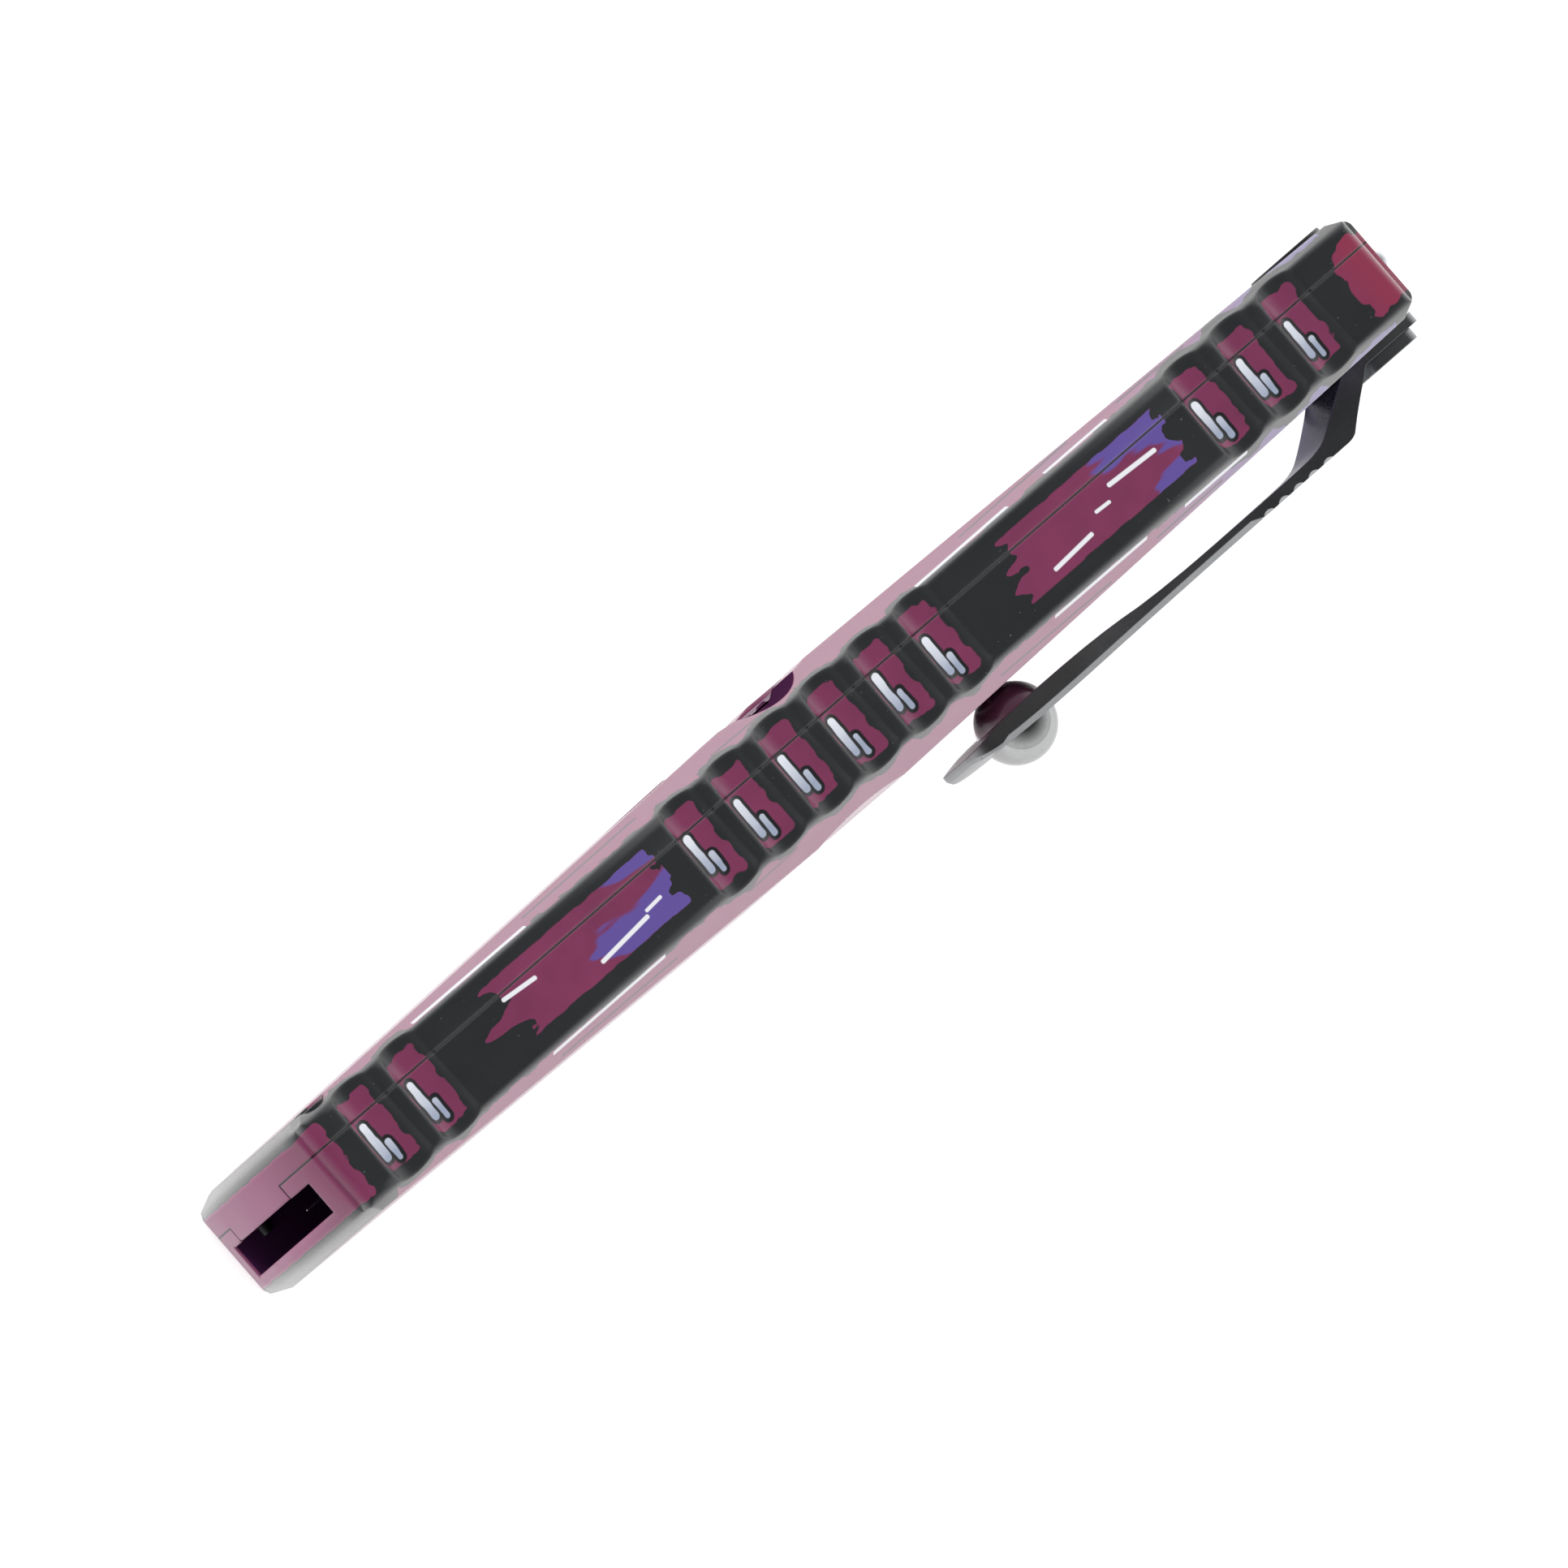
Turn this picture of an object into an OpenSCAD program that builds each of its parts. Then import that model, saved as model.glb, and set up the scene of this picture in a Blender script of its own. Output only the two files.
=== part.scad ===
/* [Handle] */
// Length of the handle from nose to butt
handle_len = 117.5; // [112:0.5:124]
// Width of the handle from spine to spine
handle_w = 25; // [24:0.5:28]
// Thickness of the walls beside the blade slot
side_wall = 3.5; // [3.3:0.05:3.9]
// Half thickness of the handle at the nose
nose_half = 4.6; // [4.4:0.1:5]
// Half thickness of the handle at its thickest station
peak_half = 5.8; // [5.6:0.1:6.6]
// Half thickness of the handle at the butt
butt_half = 4.5; // [4.4:0.1:5]
// Distance from the nose to the thickest station
peak_at = 54.5; // [53.5:0.5:55.5]
// Radius of the bowed nose, seen from the cover side
nose_r = 44; // [40:1:60]
// Radius of the bowed butt, seen from the cover side
butt_r = 30; // [28:1:40]
// Radius of the four outline corners
corner_r = 1.1; // [0.8:0.1:1.4]
// Flat width of both spines
spine_flat = 6.6; // [6.2:0.1:7.4]
// Flat width of the nose and of the butt
end_flat = 6.4; // [6:0.1:7]
// Rounding where a spine runs into its bevel
edge_r = 0.9; // [0.6:0.05:1]
// Distance of the parting plane from the middle, to the cover side
parting = 1.64; // [1.5:0.02:1.8]

/* [Grip] */
// Distance from one scallop to the next
scallop_pitch = 5.05; // [4.8:0.05:5.3]
// Width of one scallop at the spine
scallop_w = 3.95; // [3.6:0.05:4.3]
// Depth of one scallop
scallop_depth = 0.75; // [0.5:0.05:0.8]
// Middle of the nose group of two scallops
scallops_nose_at = 9.5; // [9:0.1:10]
// Middle of the butt group of three scallops
scallops_butt_at = 101.5; // [101:0.1:102.5]
// Depth of the finger trough across both faces
trough_depth = 0.46; // [0.3:0.02:0.6]
// Radius of the finger trough
trough_r = 30; // [26:1:36]
// Depth of the thumb groove across the cover
groove_depth = 1.3; // [1:0.05:1.4]
// Radius of the thumb groove
groove_r = 5; // [4:0.1:5.5]

/* [Blade] */
// Thickness of the blade
blade_t = 2.5; // [2.2:0.05:2.6]
// Distance of the point behind the nose, with the blade in
tip_at = 3.5; // [3:0.1:6]
// Length of the dagger point
point_len = 27; // [20:1:34]
// Room behind the tang up to the butt, with the blade in
tail_room = 19.5; // [18.5:0.5:20.5]
// Length of the tang
tang_len = 16; // [14:0.5:16]
// Width of the unground flat along the middle of the blade
blade_flat = 9; // [8:0.5:10]
// Thickness left at the ground edges
edge_t = 0.2; // [0.1:0.05:0.3]
// Place of the blade's middle plane, to the clip side
blade_y = 1.05; // [1:0.01:1.1]
// Running clearance of the blade in thickness, each side
blade_gap = 0.135; // [0.1:0.005:0.2]
// Running clearance of the blade in width, each side
edge_gap = 0.3; // [0.2:0.05:0.4]

/* [Slide] */
// Travel of the thumb slide
slide_travel = 10; // [9:0.5:10]
// Length of the slide's button
button_len = 7; // [6:0.5:8]
// Width of the slide's button
button_w = 8.4; // [7:0.2:9]
// Height of the button's top above the middle plane
button_top = 5.33; // [5.2:0.01:5.5]
// Middle of the button with the blade in
button_at = 57; // [56:0.5:58]
// Height of the channel's floor above the middle plane
channel_floor = 4; // [3.9:0.05:4.1]
// Length of the stem under the button
stem_len = 4.4; // [3.6:0.2:5]
// Distance of the stem's sides inside the carriage plate's edges
stem_in = 3.6; // [3.5:0.05:4.1]
// Reach of the carriage plate in front of the button's middle
carriage_ahead = 23; // [21:1:24]
// Distance of the carriage plate's edges inside the blade's edges
carriage_in = 2.6; // [2.5:0.05:3.2]
// Thickness of the carriage plate
carriage_t = 0.95; // [0.8:0.05:1]
// Running clearance of the slide's parts
slide_gap = 0.14; // [0.1:0.01:0.2]
// Outer diameter of the main spring
spring_d = 1.9; // [1.7:0.05:2]
// Diameter of the main spring's wire
spring_wire = 0.36; // [0.3:0.02:0.4]
// Number of turns of the main spring
spring_turns = 24; // [16:1:30]

/* [Catches] */
// Distance from a catch's pin to the middle of its tooth
catch_arm = 9.6; // [9:0.1:10]
// Width of a catch
catch_w = 1.7; // [1.5:0.05:1.8]
// Thickness of a catch
catch_t = 0.7; // [0.6:0.05:0.75]
// Diameter of a catch's pin
catch_pin_d = 0.8; // [0.7:0.05:0.85]
// Length of a catch's tooth along the handle
tooth_len = 1.5; // [1.2:0.1:1.6]

/* [Clip] */
// Thickness of the clip's arm and foot
clip_t = 0.9; // [0.8:0.02:1.1]
// Width of the clip's arm
clip_w = 6.4; // [5.6:0.1:7]
// Width of the clip's foot
foot_w = 9.8; // [9:0.1:10.4]
// Height of the arm's inner face above the middle plane
arm_y = 7.95; // [7.8:0.05:8.2]
// Thickness of the clip's head, around the ball
clip_head_t = 1.85; // [1.5:0.05:2]
// Diameter of the ball
ball_d = 6.35; // [6:0.05:6.5]
// Distance of the ball from the nose
ball_at = 72.8; // [71:0.2:76]
// Height of the ball's middle above the middle plane
ball_y = 8.3; // [8.2:0.02:8.4]
// Width of the clip's head, around the ball
head_w = 8.7; // [8.4:0.1:9.2]
// Distance of the clip's tip in front of the ball
tip_ahead = 6.25; // [6:0.05:7]
// Height of the clip's seat above the middle plane
seat_y = 4.4; // [4.3:0.05:4.5]

/* [Fasteners] */
// Thread diameter of the small screws
screw_d = 1.6; // [1.4:0.1:1.8]
// Head diameter of the cover screws
head_d = 2.8; // [2.4:0.1:2.9]
// Head diameter of the large butt screw
butt_head_d = 6.6; // [5:0.1:6.8]
// Height that the butt screw stands proud
butt_head_proud = 0.25; // [0.1:0.05:0.4]
// Diameter of the glass breaker's collar
collar_d = 3.2; // [3:0.1:3.2]
// Diameter of the glass breaker's dome
dome_d = 2; // [1.6:0.1:2.2]
// Height that the glass breaker stands proud of the butt
stud_proud = 3.5; // [2:0.1:3.6]

/* [Hidden] */
$fn = 48;
eps = 0.01;
mid_z = handle_w / 2;
bevel_slope = 0.5;
bevel_reach = 7;
edge_steps = 4;
// the part's origin lies under the middle of its box
nose_x = (handle_len + stud_proud) / 2;
reach_y = ball_y + ball_d / 2;
// the lip beside the finger trough is the cover's highest line
face_drop = (peak_half - butt_half) / (handle_len - peak_at);
lip_at = sqrt(pow(face_drop * trough_r, 2) + 2 * trough_r * trough_depth) - face_drop * trough_r;
lip_half = peak_half - face_drop * lip_at;
shift_y = (lip_half - reach_y) / 2;
// cavity and slot
slot_h = handle_w - 2 * side_wall;
blade_w = slot_h - 2 * edge_gap;
slot_low = blade_y - blade_t / 2 - blade_gap;
slot_high = blade_y + blade_t / 2 + blade_gap;
lip_len = 6;
tongue_w = 12;
tongue_gap = 0.06;
blade_in_end = handle_len - tail_room;
tang_front = blade_in_end - tang_len;
bumper_len = 2.6;
cavity_end = blade_in_end + bumper_len + 0.2;
// blade stop
stop_d = 1;
stop_at = 3.6;
stop_gap = 0.1;
stop_reach = blade_y - blade_t / 2 + 0.65;
blade_travel = tang_front - stop_at - stop_d / 2 - stop_gap;
// slide
pocket_floor = channel_floor - 0.95;
plate_top = parting - slide_gap;
carriage_w = blade_w - 2 * carriage_in;
carriage_front = button_at - carriage_ahead;
carriage_room = 8.8;
carriage_rear = cavity_end - carriage_room;
stem_w = carriage_w - 2 * stem_in;
spring_in = 2;
spring_z = mid_z + carriage_w / 2 - spring_in;
spring_y = -plate_top + carriage_t / 2 - 0.75;
truck_len = 2;
truck_h = 2.1;
truck_w = spring_d;
truck_in = 10;
truck_front = carriage_front + truck_in;
truck_rear = carriage_rear - truck_in;
window_gap = 5;
window_low = mid_z - 3.6;
window_high = mid_z + 0.6;
window_w = spring_d + 0.3;
// catches
catch_rest = slot_low - 0.1;
catch_y = -1.15;
catch_z = mid_z + blade_w / 2 - 1.45 + catch_w / 2;
catch_boss = 1.5;
front_tooth_at = stop_at + stop_d / 2 + stop_gap + tang_len + 0.3 + tooth_len / 2;
rear_tooth_at = tang_front - 0.3 - tooth_len / 2;
front_pin_at = front_tooth_at + catch_arm;
rear_pin_at = rear_tooth_at - catch_arm;
pin_in = 1.7;
leaf_t = 0.12;
leaf_bow = 0.14;
leaf_gap = 2;
end_room = 0.6;
button_room = 0.3;
side_room = 0.2;
// clip
foot_front = handle_len - 7.1;
foot_rear = handle_len + 0.1;
head_y = arm_y - 0.62;
head_round = head_w / 4;
keeper_t = 0.95;
keeper_len = 5.4;
keeper_front = foot_front + 1.3;
keeper_r = 1.2;
clip_screw_in = 0.9;
clip_head_h = 0.6;
keeper_w = 8.6;
clip_screw_at = handle_len - 3.6;
clip_screw_z = 2.6;
notch_at = handle_len - 19.1;
notch_pitch = 1.61;
notch_d = 1.5;
notch_depth = 0.2;
// fasteners
cover_screw_z = mid_z - 2.2;
cover_screw_at = 4.4;
butt_screw_at = handle_len - 5.8;
butt_screw_z = 6.4;
screw_reach = 3;
pin_room = 0.6;
stop_z = cover_screw_z - (screw_d + stop_d) / 2 - pin_room;
socket_share = 0.45;
head_sunk = 0.1;
head_h = 1.1;
butt_seat = 0.9;
dowel_d = 1.2;
dowel_reach = 1.5;
dowel_front = 24;
dowel_past = 4;
dowel_at = [dowel_front, tang_front + dowel_past];
dowel_in = 1.9;
dowel_z = mid_z - dowel_in;
// glass breaker
stud_thread_d = 2;
stud_thread_len = 4.5;
collar_sunk = 0.7;

// Bench coordinates: x runs back from the nose, y to the clip side, z up from the far spine.
module place() {
  translate([nose_x, shift_y, 0])
    mirror([1, 0, 0])
      children();
}

// Extrudes an outline drawn in x and z between two heights of y.
module plate(y_low, y_high) {
  translate([0, y_high, 0])
    rotate([90, 0, 0])
      linear_extrude(y_high - y_low)
        children();
}

// Extrudes an outline drawn in x and y between two heights of z.
module slab(z_low, z_high) {
  translate([0, 0, z_low])
    linear_extrude(z_high - z_low)
      children();
}

module box(x_low, x_high, y_low, y_high, z_low, z_high) {
  translate([x_low, y_low, z_low])
    cube([x_high - x_low, y_high - y_low, z_high - z_low]);
}

// A round bar along y.
module bar(x, z, y_low, y_high, d) {
  translate([x, y_high, z])
    rotate([90, 0, 0])
      cylinder(h = y_high - y_low, d = d);
}

module round_rect(x_low, x_high, z_low, z_high, r) {
  translate([x_low + r, z_low]) square([x_high - x_low - 2 * r, z_high - z_low]);
  translate([x_low, z_low + r]) square([x_high - x_low, z_high - z_low - 2 * r]);
  for (x = [x_low + r, x_high - r])
    for (z = [z_low + r, z_high - r])
      translate([x, z]) circle(r = r);
}

// Half of the rounded and bevelled rim: how far out it is at each depth below the edge.
function rim_points(flat) =
  let (turn = atan(1 / bevel_slope))
  let (round_y = flat / 2 + edge_r * sin(turn))
  let (round_depth = edge_r * (1 - cos(turn)))
  concat(
    [for (i = [0:edge_steps])
      let (a = turn * i / edge_steps)
      [flat / 2 + edge_r * sin(a), edge_r * (1 - cos(a))]],
    [[bevel_reach, round_depth + (bevel_reach - round_y) / bevel_slope]]);

function flipped(points) = [for (i = [len(points) - 1:-1:0]) [-points[i][0], points[i][1]]];

// Section of the handle across its length, in y and z, before the faces are cut.
module spine_section() {
  rim = rim_points(spine_flat);
  top = [for (p = concat(flipped(rim), rim)) [p[0], handle_w - p[1]]];
  low = [for (i = [len(top) - 1:-1:0]) [top[i][0], handle_w - top[i][1]]];
  polygon(concat(top, low));
}

// A bevelled disc whose rim is the bowed nose or butt.
module bowed_disc(at, r) {
  rim = rim_points(end_flat);
  half = [for (p = concat(flipped(rim), rim)) [r - p[1], p[0]]];
  translate([at, 0, mid_z])
    rotate([90, 0, 0])
      rotate_extrude($fn = 180)
        polygon(concat([[0, -bevel_reach]], half, [[0, bevel_reach]]));
}

module handle_faces() {
  front = peak_half - (peak_half - nose_half) * (peak_at + 2) / peak_at;
  back = peak_half - (peak_half - butt_half) * (handle_len + 2 - peak_at) / (handle_len - peak_at);
  slab(-1, handle_w + 1)
    polygon([[-2, front], [peak_at, peak_half], [handle_len + 2, back],
      [handle_len + 2, -back], [peak_at, -peak_half], [-2, -front]]);
}

module scallops(at, count) {
  r = (scallop_w * scallop_w / 4 + scallop_depth * scallop_depth) / (2 * scallop_depth);
  for (i = [0:count - 1])
    for (z = [scallop_depth - r, handle_w - scallop_depth + r])
      bar(at + (i - (count - 1) / 2) * scallop_pitch, z, -bevel_reach, bevel_reach, 2 * r);
}

module trough() {
  for (side = [-1, 1])
    translate([peak_at, side * (peak_half - trough_depth + trough_r), -1])
      cylinder(h = handle_w + 2, r = trough_r, $fn = 180);
}

// The whole outside of the closed handle, both halves together.
module handle_blank() {
  difference() {
    intersection() {
      rotate([90, 0, 90])
        linear_extrude(handle_len)
          spine_section();
      union() {
        bowed_disc(nose_r, nose_r);
        box(nose_r, handle_len + 1, -bevel_reach, bevel_reach, -1, handle_w + 1);
      }
      union() {
        bowed_disc(handle_len - butt_r, butt_r);
        box(-1, handle_len - butt_r, -bevel_reach, bevel_reach, -1, handle_w + 1);
      }
      plate(-bevel_reach, bevel_reach) corner_outline();
      handle_faces();
    }
    scallops(scallops_nose_at, 2);
    scallops(peak_at, 6);
    scallops(scallops_butt_at, 3);
    trough();
  }
}

// Where the bowed ends meet the spines, measured from the nose and from the butt.
function bow_back(r) = r - sqrt(r * r - mid_z * mid_z);

module corner_outline() {
  round_rect(bow_back(nose_r), handle_len - bow_back(butt_r), 0, handle_w, corner_r);
  translate([0, corner_r * 2]) square([handle_len, handle_w - corner_r * 4]);
  translate([-eps, corner_r]) square([bow_back(nose_r) + corner_r, handle_w - corner_r * 2]);
  translate([handle_len - bow_back(butt_r) - corner_r, corner_r])
    square([bow_back(butt_r) + corner_r, handle_w - corner_r * 2]);
}

module blade_channel() {
  box(-1, cavity_end, slot_low, slot_high, mid_z - slot_h / 2, mid_z + slot_h / 2);
  box(lip_len, cavity_end, -parting - 1, slot_low + eps, mid_z - slot_h / 2, mid_z + slot_h / 2);
  box(-1, lip_len + eps, -parting - 1, slot_low + eps, mid_z - tongue_w / 2, mid_z + tongue_w / 2);
}

// Places of the cover screws, as [x, z].
function cover_screw_points() = [
  [cover_screw_at, mid_z - cover_screw_z],
  [cover_screw_at, mid_z + cover_screw_z],
  [butt_screw_at, mid_z - butt_screw_z]];

module fastener_bores() {
  for (p = cover_screw_points())
    bar(p[0], p[1], -parting - 2 * bevel_reach, screw_reach, screw_d);
  bar(butt_screw_at, mid_z + butt_screw_z, -bevel_reach, screw_reach, screw_d);
  for (i = [0, 1])
    bar(dowel_at[i], mid_z + (i * 2 - 1) * dowel_z, -parting - dowel_reach, -parting + dowel_reach,
      dowel_d);
}

module stud_bore() {
  translate([handle_len - stud_thread_len, 0, mid_z])
    rotate([0, 90, 0])
      cylinder(h = 2 * stud_thread_len, d = stud_thread_d);
  translate([handle_len - collar_sunk, 0, mid_z])
    rotate([0, 90, 0])
      cylinder(h = 2 * collar_sunk, d = collar_d);
}

module handle_body() {
  color("#3A3C3F") place()
    difference() {
      handle_blank();
      box(-1, handle_len + 1, -2 * bevel_reach, -parting, -1, handle_w + 1);
      blade_channel();
      fastener_bores();
      stud_bore();
      for (side = [-1, 1])
        bar(stop_at, mid_z + side * stop_z, -parting - 1, slot_low + 1, stop_d);
      for (x = [front_pin_at, rear_pin_at])
        translate([x, catch_y, mid_z + slot_h / 2 - eps])
          cylinder(h = pin_in, d = catch_pin_d);
      plate(seat_y, 2 * bevel_reach)
        round_rect(foot_front - 2.4, foot_rear + 4, mid_z - foot_w / 2 - 0.1,
          mid_z + foot_w / 2 + 0.1, 1.5);
      for (side = [-1, 1])
        bar(clip_screw_at, mid_z + side * clip_screw_z, clip_screw_in, bevel_reach, screw_d);
      translate([ball_at, ball_y, mid_z])
        sphere(d = ball_d + 0.6);
    }
}

module handle_cover() {
  slide_front = button_at - slide_travel - button_len / 2 - end_room;
  slide_back = button_at + button_len / 2 + end_room;
  color("#3A3C3F") place()
    difference() {
      union() {
        difference() {
          handle_blank();
          box(-1, handle_len + 1, -parting, 2 * bevel_reach, -1, handle_w + 1);
        }
        intersection() {
          handle_blank();
          box(-1, lip_len - tongue_gap, -parting - eps, slot_low - 0.05,
            mid_z - tongue_w / 2 + tongue_gap, mid_z + tongue_w / 2 - tongue_gap);
        }
      }
      // thumb groove across the face and the channel that the button runs in
      translate([peak_at, -(peak_half - groove_depth + groove_r), -1])
        cylinder(h = handle_w + 2, r = groove_r, $fn = 72);
      plate(-2 * bevel_reach, -channel_floor)
        round_rect(slide_front, slide_back, mid_z - button_w / 2 - button_room,
          mid_z + button_w / 2 + button_room, 2);
      box(button_at - slide_travel - stem_len / 2 - button_room, button_at + stem_len / 2 + button_room,
        -channel_floor - 1, -pocket_floor + eps, mid_z - stem_w / 2 - side_room,
        mid_z + stem_w / 2 + side_room);
      // pocket for the stem and the main spring
      box(truck_front - slide_travel - 3, truck_rear + 3, -pocket_floor, -parting + eps,
        mid_z - stem_w / 2 - 2 * side_room, spring_z + window_w / 2 + side_room);
      for (x = [front_pin_at, rear_pin_at])
        box(x - catch_boss, x + catch_boss, catch_y - catch_boss / 2 - 0.25, -parting + eps,
          catch_z - catch_w / 2 - side_room, catch_z + catch_w / 2 + side_room);
      fastener_bores();
      for (p = cover_screw_points())
        bar(p[0], p[1], -2 * bevel_reach, -nose_half + head_sunk + head_h, head_d + 0.1);
      bar(butt_screw_at, mid_z + butt_screw_z, -2 * bevel_reach, -butt_half + butt_seat,
        butt_head_d + 0.1);
    }
}

// Section of the ground blade, in y and z, round its middle.
module blade_section() {
  half = blade_t / 2;
  polygon([[-half, -blade_flat / 2], [-edge_t / 2, -blade_w / 2], [edge_t / 2, -blade_w / 2],
    [half, -blade_flat / 2], [half, blade_flat / 2], [edge_t / 2, blade_w / 2],
    [-edge_t / 2, blade_w / 2], [-half, blade_flat / 2]]);
}

module blade() {
  point_end = tip_at + point_len;
  color("#B8BCC2") place() {
    hull() {
      translate([point_end, blade_y, mid_z])
        rotate([90, 0, 90])
          linear_extrude(eps)
            blade_section();
      translate([tip_at, blade_y, mid_z])
        sphere(r = 0.12, $fn = 14);
    }
    translate([point_end, blade_y, mid_z])
      rotate([90, 0, 90])
        linear_extrude(tang_front - point_end + eps)
          blade_section();
    difference() {
      box(tang_front, blade_in_end, blade_y - blade_t / 2, blade_y + blade_t / 2,
        mid_z - blade_w / 2, mid_z + blade_w / 2);
      bar(tang_front + tang_len / 2, mid_z, -bevel_reach, bevel_reach, 6);
    }
  }
}

module blade_stop_pins() {
  color("#9A9DA2") place()
    for (side = [-1, 1])
      bar(stop_at, mid_z + side * stop_z, -parting, stop_reach, stop_d);
}

module rear_bumper() {
  color("#1E1F21") place()
    box(cavity_end - bumper_len, cavity_end, slot_low + 0.05, slot_high,
      mid_z - slot_h / 2 + 2, mid_z + slot_h / 2 - 2);
}

module thumb_slide() {
  half = button_len / 2;
  color("#5A325A") place()
    difference() {
      union() {
        intersection() {
          plate(-button_top, -channel_floor - 0.06)
            round_rect(button_at - half, button_at + half, mid_z - button_w / 2,
              mid_z + button_w / 2, 1.4);
          translate([button_at, -button_top + 14, mid_z - button_w])
            cylinder(h = 2 * button_w, r = 14, $fn = 120);
        }
        box(button_at - stem_len / 2, button_at + stem_len / 2, -channel_floor - 0.1,
          -plate_top, mid_z - stem_w / 2, mid_z + stem_w / 2);
      }
      for (i = [-1:1])
        translate([button_at + i * 1.7, -button_top - 0.25, mid_z - button_w])
          cylinder(h = 2 * button_w, d = 1.1, $fn = 24);
      bar(button_at, mid_z, -plate_top - 1.6, 0, 1.2);
    }
}

module slide_screw() {
  color("#8A8D92") place() {
    bar(button_at, mid_z, -plate_top - 1.6, -plate_top + carriage_t - 0.4, 1.2);
    bar(button_at, mid_z, -plate_top + carriage_t - 0.4, -plate_top + carriage_t, 2.2);
  }
}

module slide_carriage() {
  color("#A4A7AC") place()
    difference() {
      plate(-plate_top, -plate_top + carriage_t)
        round_rect(carriage_front, carriage_rear, mid_z - carriage_w / 2, mid_z + carriage_w / 2, 1.5);
      box(truck_front - truck_len, truck_rear + truck_len, -parting, 0,
        spring_z - window_w / 2, spring_z + window_w / 2);
      bar(button_at, mid_z, -parting, 0, 1.2);
      bar(button_at, mid_z, -plate_top + carriage_t - 0.4, 0, 2.2);
      box(truck_front - truck_len / 2, button_at - window_gap, -parting, 0, window_low, window_high);
      box(button_at + window_gap, truck_rear + truck_len / 2, -parting, 0, window_low, window_high);
    }
}

module spring_truck(x) {
  place()
    box(x - truck_len / 2, x + truck_len / 2, spring_y - truck_h / 2 + 0.1,
      spring_y + truck_h / 2 - 0.1, spring_z - truck_w / 2, spring_z + truck_w / 2);
}

module front_spring_truck() {
  color("#A4A7AC") spring_truck(truck_front);
}

module rear_spring_truck() {
  color("#A4A7AC") spring_truck(truck_rear);
}

// A coil swept along x: rings of points follow the helix and close into one solid.
module main_spring() {
  coil_r = (spring_d - spring_wire) / 2 - 0.02;
  start = truck_front + truck_len / 2;
  run = truck_rear - truck_front - truck_len;
  steps = 10;
  sides = 6;
  rings = spring_turns * steps;
  lead = run / spring_turns / 360;
  slope = atan(lead * 180 / PI / coil_r);
  points = [for (i = [0:rings])
    let (a = 360 * i / steps)
    for (j = [0:sides - 1])
      let (b = 360 * j / sides)
      let (radial = coil_r + spring_wire / 2 * cos(b))
      let (side = spring_wire / 2 * sin(b))
      [start + spring_wire / 2 + (run - spring_wire) * i / rings + side * cos(slope),
        radial * cos(a) + side * sin(slope) * sin(a),
        radial * sin(a) - side * sin(slope) * cos(a)]];
  faces = concat(
    [[for (j = [0:sides - 1]) j]],
    [for (i = [0:rings - 1])
      for (j = [0:sides - 1])
        let (k = (j + 1) % sides)
        [i * sides + j, (i + 1) * sides + j, (i + 1) * sides + k, i * sides + k]],
    [[for (j = [sides - 1:-1:0]) rings * sides + j]]);
  color("#8C9096") place()
    translate([0, spring_y, spring_z])
      polyhedron(points = points, faces = faces, convexity = 10);
}

// A catch reaches from its pin to its tooth; way is -1 towards the nose, 1 towards the butt.
module catch_lever(pin_at, way) {
  top = catch_rest - catch_t - 0.15;
  tooth = pin_at + way * catch_arm;
  place()
    difference() {
      slab(catch_z - catch_w / 2, catch_z + catch_w / 2)
        union() {
          translate([pin_at, catch_y]) circle(d = catch_boss);
          translate([min(pin_at, tooth), top]) square([catch_arm, catch_t]);
          translate([tooth - tooth_len / 2, top]) square([tooth_len, catch_rest - top]);
        }
      translate([pin_at, catch_y, 0])
        cylinder(h = 2 * handle_w, d = catch_pin_d + 0.04);
    }
}

module front_catch() {
  color("#C0A050") catch_lever(front_pin_at, -1);
}

module rear_catch() {
  color("#C0A050") catch_lever(rear_pin_at, 1);
}

module catch_pin(at) {
  place()
    translate([at, catch_y, catch_z - catch_w / 2 - 0.1])
      cylinder(h = mid_z + slot_h / 2 + pin_in - catch_z + catch_w / 2 + 0.05, d = catch_pin_d);
}

module front_catch_pin() {
  color("#9A9DA2") catch_pin(front_pin_at);
}

module rear_catch_pin() {
  color("#9A9DA2") catch_pin(rear_pin_at);
}

// A thin bowed leaf that lies between the cover and a catch's arm.
module leaf_spring(from, to) {
  span = to - from;
  steps = 12;
  outer = [for (i = [0:steps]) [from + span * i / steps, -parting + leaf_bow * sin(180 * i / steps)]];
  inner = [for (i = [steps:-1:0]) [outer[i][0], outer[i][1] + leaf_t]];
  place()
    slab(catch_z - catch_w / 2 + side_room, catch_z + catch_w / 2 - side_room)
      polygon(concat(outer, inner));
}

module front_catch_spring() {
  color("#6E7278") leaf_spring(front_pin_at - catch_arm, front_pin_at - leaf_gap);
}

module rear_catch_spring() {
  color("#6E7278") leaf_spring(rear_pin_at + leaf_gap, rear_pin_at + catch_arm);
}

module alignment_dowels() {
  color("#B0B3B8") place()
    for (i = [0, 1])
      bar(dowel_at[i], mid_z + (i * 2 - 1) * dowel_z, -parting - dowel_reach, -parting + dowel_reach,
      dowel_d);
}

// A low round head with a hexagon socket; it faces the cover side.
module cover_screw(x, z, head_top, d_head, head_h) {
  difference() {
    union() {
      bar(x, z, -head_top, -head_top + head_h, d_head);
      bar(x, z, -head_top + head_h - eps, screw_reach, screw_d);
    }
    translate([x, -head_top + head_h * 0.6, z])
      rotate([90, 0, 0])
        cylinder(h = head_h, d = d_head * socket_share, $fn = 6);
  }
}

module cover_screws() {
  color("#2E3033") place()
    for (p = cover_screw_points())
      cover_screw(p[0], p[1], nose_half - head_sunk, head_d, head_h);
}

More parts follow.
